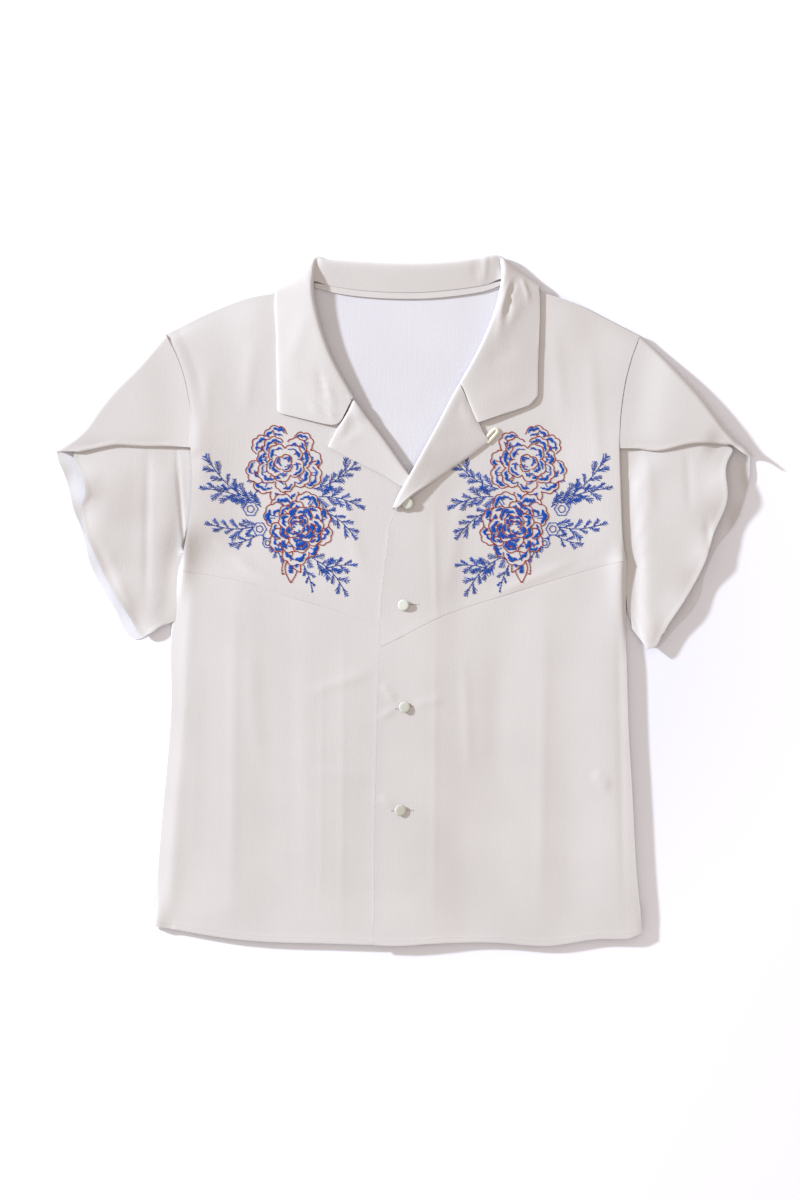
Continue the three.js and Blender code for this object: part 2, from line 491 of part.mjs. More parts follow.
// The over petal: from the front of the cap, round the outer fold and down behind
function overPetalGrid(sleeve, side) {
  const foldCurve = planCurve(sleeve.fold);
  const downwards = evenStops(9);
  const foldAt = share => {
    const place = foldCurve(share);
    const ahead = foldCurve(Math.min(1, share + 0.02)).sub(foldCurve(Math.max(0, share - 0.02)));
    const inward = point(-ahead.y, ahead.x).normalize().multiplyScalar(-side);
    const top = capHeight(sleeve, side, place.x, place.y);
    const bottom = backLayerHeight(side, place.x);
    const radius = (top - bottom) / 2;
    return { radius, inward, centre: place.addScaledVector(inward, radius).setZ(bottom + radius) };
  };
  const foldLine = share => foldAt(share).centre.clone().setZ(0);
  const armholeRows = side < 0 ? LEFT_ARMHOLE : RIGHT_ARMHOLE;
  const tip = foldLine(0);
  const cuff = foldLine(1);
  const frontArmhole = planCurve([sleeve.capStart,
    ...armholeRows.filter(row => row.y > sleeve.capStart.y + 4 && row.y < SHOULDER_TIP_Y), tip]);
  const backArmhole = planCurve([tip, ...armholeRows.filter(row => row.y < SHOULDER_TIP_Y).reverse()]);
  const capHem = planCurve([...sleeve.capHem, cuff]);
  const backHem = planCurve([cuff, ...sleeve.backHem]);
  const capEdge = planCurve([sleeve.capStart, sleeve.capHem[0]]);
  const underarm = planCurve([armholeRows[0], sleeve.backHem[sleeve.backHem.length - 1]]);
  const front = panelPlan({ bottom: frontArmhole, top: capHem, left: capEdge, right: foldLine });
  const back = panelPlan({ bottom: backArmhole, top: backHem, left: foldLine, right: underarm });
  const grid = [];
  for (const across of edgedStops(7, [], [0.03]).slice(0, -1)) {
    grid.push(downwards.map(share => {
      const place = clearOfBody(front(across, share), side);
      return place.setZ(capHeight(sleeve, side, place.x, place.y));
    }));
  }
  for (const angle of [0, 1, 2, 3, 4].map(step => step * Math.PI / 4)) {
    grid.push(downwards.map(share => {
      const { radius, inward, centre } = foldAt(share);
      return centre.clone().addScaledVector(inward, -radius * Math.sin(angle))
        .add(point(0, 0, radius * Math.cos(angle)));
    }));
  }
  for (const across of edgedStops(18, [0.03]).slice(1)) {
    grid.push(downwards.map(share => {
      const place = clearOfBody(back(across, share), side);
      const wave = 0.5 * (1 + ruffle(sleeve, across, share)) * ease(1 - RUFFLE.width, 1, share);
      const clear = ease(...RUFFLE.clear, side * place.x) * ease(0, RUFFLE.start, across);
      return place.setZ(backLayerHeight(side, place.x) + RUFFLE.back * wave * clear);
    }));
  }
  return grid;
}

// The front petal: from the armhole to its waved hem
function underPetalGrid(sleeve, side) {
  const armholeRows = side < 0 ? LEFT_ARMHOLE : RIGHT_ARMHOLE;
  const visible = armholeRows.filter(row => row.y < sleeve.petalTop.y - 4);
  const armhole = planCurve([...visible, sleeve.petalTop]);
  const hem = planCurve([...sleeve.petalHem].reverse());
  const underarm = planCurve([armholeRows[0], sleeve.petalHem[sleeve.petalHem.length - 1]]);
  const topEdge = planCurve([sleeve.petalTop, sleeve.petalHem[0]]);
  const plan = panelPlan({ bottom: underarm, top: topEdge, left: armhole, right: hem });
  const outwards = edgedStops(9, [0.06, 0.12, 0.2], [0.05]);
  return outwards.map(out => evenStops(26).map(up => {
    const place = clearOfBody(plan(out, up), side);
    const wave = ruffle(sleeve, up, out) * (1 - ease(...RUFFLE.damped, place.y))
      * ease(0, RUFFLE.start, up);
    return place.setZ(petalHeight(sleeve, side, place.x, place.y) + RUFFLE.front * wave);
  }));
}

function buttonGeometry() {
  const profile = [[0, 0], [BUTTON.radius - BUTTON.rim, 0], [BUTTON.radius, BUTTON.rim],
    [BUTTON.radius, BUTTON.height - BUTTON.dome - BUTTON.rim],
    [BUTTON.radius - BUTTON.rim, BUTTON.height - BUTTON.dome], [BUTTON.radius / 2, BUTTON.height - 0.2],
    [0, BUTTON.height]].map(([x, y]) => new THREE.Vector2(x, y));
  const geometry = new THREE.LatheGeometry(profile, 16);
  return geometry.rotateX(Math.PI / 2);
}

// A hairpin of narrow rouleau cord that stands out from the right lapel's edge
function loopGeometry() {
  const along = THREE.MathUtils.degToRad(LOOP.angle);
  const half = LOOP.width / 2;
  const straight = LOOP.length - half;
  const bend = [0, 1, 2, 3, 4].map(step => Math.PI / 2 - step * Math.PI / 4);
  const outline = [[0, half], [straight / 2, half],
    ...bend.map(angle => [straight + half * Math.cos(angle), half * Math.sin(angle)]),
    [straight / 2, -half], [0, -half]];
  const places = outline.map(([out, aside]) => {
    const x = LOOP.foot.x + out * Math.cos(along) - aside * Math.sin(along);
    const y = LOOP.foot.y + out * Math.sin(along) + aside * Math.cos(along);
    return point(x, y, frontHeight(1, x, y) + CLOTH / 2 + LAYER_GAP + LOOP.cord);
  });
  const section = new THREE.Shape().absarc(0, 0, LOOP.cord, 0, 2 * Math.PI);
  const path = new THREE.CatmullRomCurve3(places, false, 'centripetal');
  return new THREE.ExtrudeGeometry(section, { steps: 16, curveSegments: 3, extrudePath: path });
}

// Binding tape over the back neck seam, inside the neck opening
function tapeGrid() {
  const rows = [...WRAP_ROLL.slice(-2), ...COLLAR_BACK, ...WRAP_ROLL_RIGHT.slice(-2).reverse()];
  const seam = planCurve(rows.map(({ seamX, seamY }) => ({ x: seamX, y: seamY })));
  return evenStops(16).map(along => [0, 0.5, 1].map(down => {
    const place = seam(mix(TAPE_ENDS, 1 - TAPE_ENDS, along));
    place.y -= mix(SEAM_GAP + 0.4, TAPE_WIDTH, down);
    return place.setZ(backMiddle(place.x, place.y) + CLOTH / 2 + LAYER_GAP + TAPE / 2);
  }));
}

const garment = new THREE.Group();

function addPiece(name, geometry, finish) {
  const material = new THREE.MeshStandardMaterial({ ...finish, metalness: 0 });
  const mesh = new THREE.Mesh(geometry, material);
  mesh.name = name;
  garment.add(mesh);
  return mesh;
}

// Stops across the fronts crowd to the side seams, where the cloth rolls
const SIDE_STOPS = [0.009, 0.019, 0.034, 0.056, 0.095];
const LEFT_ACROSS = edgedStops(11, SIDE_STOPS);
const RIGHT_ACROSS = edgedStops(11, [], SIDE_STOPS);
const SHOULDER_STOPS = [0.018, 0.04];

// Rows of the back, closer along the armholes and over the collar's fall
const BACK_LOWER = 0.55;
const BACK_UP = [...evenStops(5).map(stop => BACK_LOWER * stop),
  ...evenStops(14).slice(1).map(stop => mix(BACK_LOWER, 1, stop))];

const back = panelPlan({
  bottom: planCurve(BACK_HEM),
  top: planCurve([...LEFT_SHOULDER, ...BACK_NECK.slice(1, -1), ...[...RIGHT_SHOULDER].reverse()]),
  left: planCurve([BACK_HEM[0], ...LEFT_SIDE.slice(1), ...LEFT_ARMHOLE]),
  right: planCurve([BACK_HEM[BACK_HEM.length - 1], ...RIGHT_SIDE.slice(1), ...RIGHT_ARMHOLE.slice(1)]),
});
const backGrid = panelGrid(back, evenStops(18), BACK_UP, backMiddle, { width: 470, height: 640 });
addPiece('back', wallGeometry(backGrid, CLOTH), SINGLE_FABRIC);

const fronts = [
  { name: 'left_front_yoke', side: -1, across: LEFT_ACROSS, up: edgedStops(13, [], SHOULDER_STOPS),
    size: { width: 230, height: 260 },
    bottom: LEFT_YOKE_SEAM, top: LEFT_SHOULDER,
    left: [...LEFT_SIDE.slice(-1), ...LEFT_ARMHOLE], right: UNDER_EDGE_UPPER },
  { name: 'left_front_lower', side: -1, across: LEFT_ACROSS, up: evenStops(12),
    size: { width: 265, height: 330 },
    bottom: LEFT_HEM, top: LEFT_YOKE_SEAM, left: LEFT_SIDE, right: UNDER_EDGE_LOWER },
  { name: 'right_front_yoke', side: 1, across: RIGHT_ACROSS, up: edgedStops(13, [], SHOULDER_STOPS),
    size: { width: 230, height: 260 },
    bottom: RIGHT_YOKE_SEAM, top: [...RIGHT_SHOULDER].reverse(),
    left: TOP_EDGE_UPPER, right: RIGHT_ARMHOLE },
  { name: 'right_front_lower', side: 1, across: RIGHT_ACROSS, up: evenStops(12),
    size: { width: 265, height: 330 },
    bottom: RIGHT_HEM, top: RIGHT_YOKE_SEAM, left: TOP_EDGE_LOWER, right: RIGHT_SIDE },
];
for (const { name, side, across, up, size, ...edges } of fronts) {
  const plan = panelPlan({ bottom: planCurve(edges.bottom), top: planCurve(edges.top),
    left: planCurve(edges.left), right: planCurve(edges.right) });
  const grid = panelGrid(plan, across, up, (x, y) => frontHeight(side, x, y), size);
  addPiece(name, wallGeometry(grid, CLOTH), FABRIC);
}

for (const [name, sleeve, side] of [['left', LEFT_SLEEVE, -1], ['right', RIGHT_SLEEVE, 1]]) {
  addPiece(`${name}_sleeve_over_petal`, wallGeometry(overPetalGrid(sleeve, side), CLOTH), FABRIC);
  addPiece(`${name}_sleeve_front_petal`, wallGeometry(underPetalGrid(sleeve, side), CLOTH), FABRIC);
}

addPiece('collar', wallGeometry(collarGrid(), DOUBLE_CLOTH), FABRIC);
addPiece('left_lapel', wallGeometry(lapelGrid(LEFT_LAPEL, -1), DOUBLE_CLOTH), FABRIC);
addPiece('right_lapel', wallGeometry(lapelGrid(RIGHT_LAPEL, 1), DOUBLE_CLOTH), FABRIC);
addPiece('neck_tape', wallGeometry(tapeGrid(), TAPE), TRIM);

for (const { name, x, y } of BUTTONS) {
  const button = addPiece(`${name}_button`, buttonGeometry(), TRIM);
  button.position.set(x, y, frontHeight(1, x, y) + CLOTH / 2 + LAYER_GAP);
}
addPiece('lapel_loop', loopGeometry(), TRIM);

export default garment;
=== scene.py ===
"""Looks of a camp-collar blouse laid flat: its cloth, hems, sewing, embroidery, buttons and light."""

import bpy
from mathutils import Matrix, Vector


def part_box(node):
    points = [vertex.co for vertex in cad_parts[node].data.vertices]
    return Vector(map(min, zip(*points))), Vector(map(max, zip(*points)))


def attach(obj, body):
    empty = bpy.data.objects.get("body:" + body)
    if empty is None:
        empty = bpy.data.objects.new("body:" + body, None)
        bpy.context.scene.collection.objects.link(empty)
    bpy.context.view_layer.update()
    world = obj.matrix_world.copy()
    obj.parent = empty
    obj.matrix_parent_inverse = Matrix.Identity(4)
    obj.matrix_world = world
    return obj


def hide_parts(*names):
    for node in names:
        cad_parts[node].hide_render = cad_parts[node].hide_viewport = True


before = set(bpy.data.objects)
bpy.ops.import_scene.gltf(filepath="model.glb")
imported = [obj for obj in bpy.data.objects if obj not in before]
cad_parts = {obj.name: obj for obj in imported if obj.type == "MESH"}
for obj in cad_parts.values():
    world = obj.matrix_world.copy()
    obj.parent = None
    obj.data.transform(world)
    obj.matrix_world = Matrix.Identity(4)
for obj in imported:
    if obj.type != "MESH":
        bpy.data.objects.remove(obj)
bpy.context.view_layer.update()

import logging
import math
from dataclasses import dataclass, field
from enum import Enum
from random import Random

import bmesh
import bpy
from mathutils import Matrix, Vector
from mathutils.bvhtree import BVHTree
from mathutils.kdtree import KDTree

LOG = logging.getLogger("blouse")
MM = 0.001
BODY = "root"
RIM_ANGLE = math.radians(72)      # sharper than any fold of a wall, softer than its rim
RIM_SHADE_ANGLE = math.radians(50)   # the shell's edges bent more than this are shaded sharp
QUAD_BEND = math.radians(50)      # two triangles that bend less become one face
QUAD_SKEW = math.radians(60)      # the most that this face's corners may be out of square
LEVEL_FACE = 0.6                  # upward part of the normal of a face that lies fairly level
MERGE_DISTANCE = 0.02 * MM
MAX_BORDER_GAP_MM = 60.0          # border points farther apart than this aren't joined
SEAM_REACH = 2.2 * MM             # a border point this near to another node is sewn to it
PRESSED = 0.8 * MM                # how high up pressing the lowest cloth together reaches
ABOVE_CLOTH = 50 * MM             # height at which a plumb line starts
SINGLE_LAYER_MM = (1.3, 2.0)      # height up to which cloth lies on the paper, and from which not
UPPER_LAYER_MM = (1.5, 5.0)       # heights between which a folded panel goes over to its upper layer
SIDE_SEAM_Y = (-322, 44)          # the side seam's ends up the blouse, in mm
Plan = tuple[float, float]        # a place on the table in mm: across and up the blouse
Stitch = tuple[float, float, float, float, float]   # both ends' places and the thread's width, in mm


class Side(Enum):
    """The viewer's left or right half of the blouse."""

    LEFT = -1
    RIGHT = 1

    @property
    def word(self) -> str:
        """The side's word in the names of nodes and pieces."""
        return self.name.lower()


def linear_colour(hex_code: str) -> tuple[float, float, float, float]:
    """Turn an sRGB hex colour into the linear colour that shaders take.

    Args:
        hex_code: Six hex digits, such as "e2dddb".

    Returns:
        Red, green, blue and alpha.
    """
    channels = [int(hex_code[start:start + 2], 16) / 255 for start in (0, 2, 4)]
    linear = [c / 12.92 if c <= 0.04045 else ((c + 0.055) / 1.055) ** 2.4 for c in channels]
    return (*linear, 1.0)


def add_node(tree: bpy.types.NodeTree, kind: str, settings: dict | None = None,
             **links: object) -> bpy.types.Node:
    """Add one shader node with its settings, values and incoming links.

    Args:
        tree: The material's node tree.
        kind: The node's Blender type name.
        settings: Properties of the node itself.
        **links: For each input, by its name with _ for a space, a value or an output socket.

    Returns:
        The new node.
    """
    node = tree.nodes.new(kind)
    for name, value in (settings or {}).items():
        setattr(node, name, value)
    for name, value in links.items():
        key = int(name[1:]) if name[0] == "i" and name[1:].isdigit() else name.replace("_", " ")
        socket = node.inputs[key]
        if isinstance(value, bpy.types.NodeSocket):
            tree.links.new(value, socket)
        else:
            socket.default_value = value
    return node


def start_material(name: str, **values: float) -> tuple:
    """Start a finish's node material.

    Args:
        name: The finish's common name.
        **values: What is the same all over, by the shader's input with _ for a space.

    Returns:
        The material, its node tree, its shader and the Object coordinates.
    """
    material = bpy.data.materials.new(name)
    material.use_nodes = True
    tree = material.node_tree
    shader = tree.nodes["Principled BSDF"]
    for key, value in values.items():
        shader.inputs[key.replace("_", " ")].default_value = value
    return material, tree, shader, add_node(tree, "ShaderNodeTexCoord").outputs["Object"]


def as_share(tree: bpy.types.NodeTree, value: bpy.types.NodeSocket, low: float,
             high: float) -> bpy.types.NodeSocket:
    """Turn a value into a share, 0 at low and 1 at high."""
    spread = add_node(tree, "ShaderNodeMapRange", Value=value, From_Min=low, From_Max=high)
    return spread.outputs["Result"]


def mixed(tree: bpy.types.NodeTree, share: bpy.types.NodeSocket, colour: str,
          other: str | bpy.types.NodeSocket) -> bpy.types.NodeSocket:
    """Go over from a colour to another one, or to a tint, as the share grows."""
    end = linear_colour(other) if isinstance(other, str) else other
    mix = add_node(tree, "ShaderNodeMix", {"data_type": "RGBA"}, i0=share, i6=linear_colour(colour),
                   i7=end)
    return mix.outputs[2]


def ease(low: float, high: float, value: float) -> float:
    """Rise smoothly from 0 at low to 1 at high."""
    share = min(1.0, max(0.0, (value - low) / (high - low)))
    return share * share * (3 - 2 * share)


@dataclass(frozen=True)
class CrepeFinish:
    """Viscose crepe: matt, pebbly from its twisted yarn, with a faint sheen at a low angle."""

    name: str
    colour: str
    shade: str
    pebble_mm: float = 1.15        # the crepe's grain, drawn about twice as coarse so that it shows
    thread_mm: float = 1.3         # spacing of the faint cross threads, also drawn coarse
    pebble_height: float = 0.10    # in mm
    thread_height: float = 0.05    # in mm
    roughness: float = 0.74
    sheen: float = 0.22
    thin: str | None = None        # colour of a single layer that lies on the white paper: the paper showing through, and painted light for the light that the sheer layers above let into its shade
    CLOUD_MM = 1000 / 11           # size of the faint lighter and darker patches
    CLOUD_RANGE = (0.3, 0.7)       # what of their noise makes the whole way between the two colours
    SPECKLE = (0.55, -0.27)        # how strongly the grain changes the colour, and its middle
    ALONG = 0.06                   # how fast a thread's look changes along it, with 1 across it

    def slubs(self, tree: bpy.types.NodeTree, place: bpy.types.NodeSocket,
              stretch: tuple[float, float, float]) -> bpy.types.NodeSocket:
        """Uneven threads in one direction: noise drawn out along it."""
        drawn = add_node(tree, "ShaderNodeMapping", Vector=place, Scale=stretch)
        threads = add_node(tree, "ShaderNodeTexNoise", Vector=drawn.outputs["Vector"],
                           Scale=1 / (self.thread_mm * MM), Detail=2.0, Roughness=0.6)
        return threads.outputs["Fac"]

    def show_paper(self, tree: bpy.types.NodeTree, place: bpy.types.NodeSocket,
                   tint: bpy.types.NodeSocket) -> bpy.types.NodeSocket:
        """Lighten the sheer cloth where a single layer lies right on the white paper: partly the paper
        showing through, partly painted light for what the sheer layers above let through.
        """
        height = add_node(tree, "ShaderNodeSeparateXYZ", Vector=place).outputs["Z"]
        low, high = SINGLE_LAYER_MM
        return mixed(tree, as_share(tree, height, low * MM, high * MM), self.thin, tint)

    def material(self) -> bpy.types.Material:
        """Build the finish as a node material.

        Returns:
            The new material.
        """
        material, tree, shader, place = start_material(
            self.name, Roughness=self.roughness, Sheen_Weight=self.sheen, Sheen_Roughness=0.45,
            Specular_IOR_Level=0.28)
        grain = add_node(tree, "ShaderNodeTexNoise", Vector=place, Scale=1000 / self.pebble_mm / 2,
                         Detail=3.0, Roughness=0.65)
        cloud = add_node(tree, "ShaderNodeTexNoise", Vector=place, Scale=1000 / self.CLOUD_MM,
                         Detail=3.0)
        weft, warp = (self.slubs(tree, place, stretch)
                      for stretch in ((self.ALONG, 1, 1), (1, self.ALONG, 1)))
        strength, middle = self.SPECKLE
        speckle = add_node(tree, "ShaderNodeMath", {"operation": "MULTIPLY_ADD"},
                           i0=grain.outputs["Fac"], i1=strength, i2=middle)
        lively = add_node(tree, "ShaderNodeMath", {"operation": "ADD", "use_clamp": True},
                          i0=as_share(tree, cloud.outputs["Fac"], *self.CLOUD_RANGE),
                          i1=speckle.outputs[0])
        tint = mixed(tree, lively.outputs[0], self.shade, self.colour)
        # partly painted light: low single layers are lightened, also where they lie in the shade of
        # the layers above
        if self.thin:
            tint = self.show_paper(tree, place, tint)
        tree.links.new(tint, shader.inputs["Base Color"])
        threads = add_node(tree, "ShaderNodeMath", {"operation": "ADD"}, i0=weft, i1=warp)
        woven = add_node(tree, "ShaderNodeBump", Strength=1.0, Distance=self.thread_height * MM,
                         Height=threads.outputs[0])
        pebbled = add_node(tree, "ShaderNodeBump", Strength=1.0, Distance=self.pebble_height * MM,
                           Height=grain.outputs["Fac"], Normal=woven.outputs["Normal"])
        tree.links.new(pebbled.outputs["Normal"], shader.inputs["Normal"])
        return material


@dataclass(frozen=True)
class ThreadFinish:
    """Rayon embroidery or sewing thread: glossy twisted filament, lighter on its crown."""

    name: str
    colour: str
    shade: str
    roughness: float = 0.5
    sheen: float = 0.08
    TWIST_MM = 10 / 9              # length of the filament's light and dark patches
    PATCH_RANGE = (0.35, 0.65)     # what of their noise makes the whole way between the two colours
    PLY_MM = 0.05                  # how far the twisted ply stands out

    def material(self) -> bpy.types.Material:
        """Build the finish as a node material.

        Returns:
            The new material.
        """
        material, tree, shader, place = start_material(
            self.name, Roughness=self.roughness, Sheen_Weight=self.sheen, Specular_IOR_Level=0.25)
        twist = add_node(tree, "ShaderNodeTexNoise", Vector=place, Scale=1000 / self.TWIST_MM,
                         Detail=2.0)
        patch = as_share(tree, twist.outputs["Fac"], *self.PATCH_RANGE)
        tree.links.new(mixed(tree, patch, self.shade, self.colour), shader.inputs["Base Color"])
        ply = add_node(tree, "ShaderNodeBump", Strength=0.6, Distance=self.PLY_MM * MM,
                       Height=twist.outputs["Fac"])
        tree.links.new(ply.outputs["Normal"], shader.inputs["Normal"])
        return material


@dataclass(frozen=True)
class FloorFinish:
    """Smooth matt white paper sweep, a touch greyer in the middle: painted shade that deepens the
    blouse's cast shadows.
    """

    name: str = "white_paper"
    colour: str = "f3f3fd"
    # painted shade: greyer paper under the blouse, which darkens its cast shadows while the lit paper
    # still shows white
    middle: str = "e9e9f3"
    middle_m: tuple[float, float] = (0.28, 0.44)   # radius up to which the painted shade is full, and from which it is gone

    def material(self) -> bpy.types.Material:
        """Build the finish as a node material."""
        material, tree, shader, place = start_material(self.name, Roughness=0.95,
                                                       Specular_IOR_Level=0.1)
        away = add_node(tree, "ShaderNodeVectorMath", {"operation": "LENGTH"}, i0=place)
        # share of the way out of the painted shade
        beyond_painted_shade = as_share(tree, away.outputs["Value"], *self.middle_m)
        tree.links.new(mixed(tree, beyond_painted_shade, self.middle, self.colour), shader.inputs["Base Color"])
        return material


@dataclass(frozen=True)
class Crease:
    """A soft ridge (height above 0) or trough (below 0) from one point to another, in mm."""

    start: Plan
    end: Plan
    width: float
    height: float
    bow: float = 0.0               # sideways bend at its middle
    REACH = (-0.3, 1.3)            # shares of the way between which it adds anything
    RISE = (-0.12, 0.3)            # where it comes up
    FALL = (0.7, 1.12)             # where it dies out

    def height_at(self, x: float, y: float) -> float:
        """Height that the crease adds at a place, in mm.

        Args:
            x: Place across the blouse.
            y: Place up the blouse.

        Returns:
            The height, tapering to nothing at both ends.
        """
        run_x, run_y = self.end[0] - self.start[0], self.end[1] - self.start[1]
        length = math.hypot(run_x, run_y)
        along = ((x - self.start[0]) * run_x + (y - self.start[1]) * run_y) / length ** 2
        if not self.REACH[0] < along < self.REACH[1]:
            return 0.0
        aside = ((x - self.start[0]) * run_y - (y - self.start[1]) * run_x) / length
        aside -= self.bow * math.sin(math.pi * min(1.0, max(0.0, along)))
        fade = ease(*self.RISE, along) * (1 - ease(*self.FALL, along))
        return self.height * fade * math.exp(-((aside / self.width) ** 2))


def new_object(name: str, mesh: bpy.types.Mesh) -> bpy.types.Object:
    """Link a mesh to the scene as an object at the origin."""
    piece = bpy.data.objects.new(name, mesh)
    bpy.context.scene.collection.objects.link(piece)
    return piece


def dress(piece: bpy.types.Object, material: bpy.types.Material) -> None:
    """Give a piece its material and slot, smooth its faces and let it ride on the body."""
    piece.data.materials.clear()
    piece.data.materials.append(material)
    piece.data.polygons.foreach_set("use_smooth", [True] * len(piece.data.polygons))
    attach(piece, BODY)


def closed(work: bmesh.types.BMesh, name: str) -> bpy.types.Mesh:
    """Turn a finished bmesh into a mesh and free it."""
    mesh = bpy.data.meshes.new(name)
    work.to_mesh(mesh)
    work.free()
    return mesh


def baked(piece: bpy.types.Object) -> bpy.types.Mesh:
    """The mesh that an object shows, with its modifiers applied."""
    depsgraph = bpy.context.evaluated_depsgraph_get()
    return bpy.data.meshes.new_from_object(piece.evaluated_get(depsgraph))


def reshape(piece: bpy.types.Object, kind: str, **settings: object) -> None:
    """Change a piece's mesh by one modifier, which isn't kept.

    Args:
        piece: The piece.
        kind: The modifier's Blender type name.
        **settings: Its properties.
    """
    modifier = piece.modifiers.new(kind.lower(), kind)
    for name, value in settings.items():
        setattr(modifier, name, value)
    piece.data = baked(piece)
    piece.modifiers.clear()


def point_tree(places: list[Vector]) -> KDTree:
    """Search tree over some points, which it knows by their order."""
    tree = KDTree(len(places))
    for index, place in enumerate(places):
        tree.insert(place, index)
    tree.balance()
    return tree


@dataclass(frozen=True)
class Edge:
    """What happens to the part of a panel's edge that lies in a plan box, or beside a piece."""

    box: tuple[float, float, float, float] = (-400, 400, -400, 400)   # x0, x1, y0, y1 in mm
    beside: str = ""               # the node it is sewn to, or nothing for a free edge
    out: float = 0.0               # how far it is drawn outwards, in mm
    down: float = 0.0              # how far it then turns down
    rise: float = 0.0              # extra cloth folded under it lifts it so far
    reach: float = 6.0             # width of that fold
    level: float | None = None     # height above the floor that it turns down to, instead of down
    crisp: float = 0.75            # from 0, a round turn, to 1, a sharp one
    soft: float = 1.5              # half the width over which the fold's lift ends

    def holds(self, x: float, y: float) -> bool:
        """Tell whether a place in mm lies in the rule's box."""
        x0, x1, y0, y1 = self.box
        return x0 <= x <= x1 and y0 <= y <= y1


@dataclass(frozen=True)
class Flank:
    """How the cloth lies beside the body's outer edge."""

    x0: float                      # plan range of the edge, in mm
    x1: float
    height: float                  # of the edge itself above the floor
    lean: float                    # rise for each mm inwards
    spread: float                  # how far inwards the edge shapes the cloth
    top: float = 5.0               # it fades out below this place up the blouse, over fade
    fade: float = 55.0
    WHOLE = 0.25                   # share of the spread over which it shapes the cloth fully

    def shape(self, sheet: bmesh.types.BMesh) -> None:
        """Draw the sheet near the edge to a gentle slope."""
        border = [vert.co.copy() for vert in sheet.verts if vert.is_boundary
                  and self.x0 <= vert.co.x / MM <= self.x1
                  and SIDE_SEAM_Y[0] <= vert.co.y / MM <= SIDE_SEAM_Y[1]]
        line = dense_line(border)
        for vert in sheet.verts:
            x, y = vert.co.x / MM, vert.co.y / MM
            away = line.find(Vector((x, y, 0)))[2]
            share = (1 - ease(self.WHOLE * self.spread, self.spread, away)) * (
                1 - ease(self.top - self.fade, self.top, y))
            vert.co.z += share * ((self.height + self.lean * away) * MM - vert.co.z)


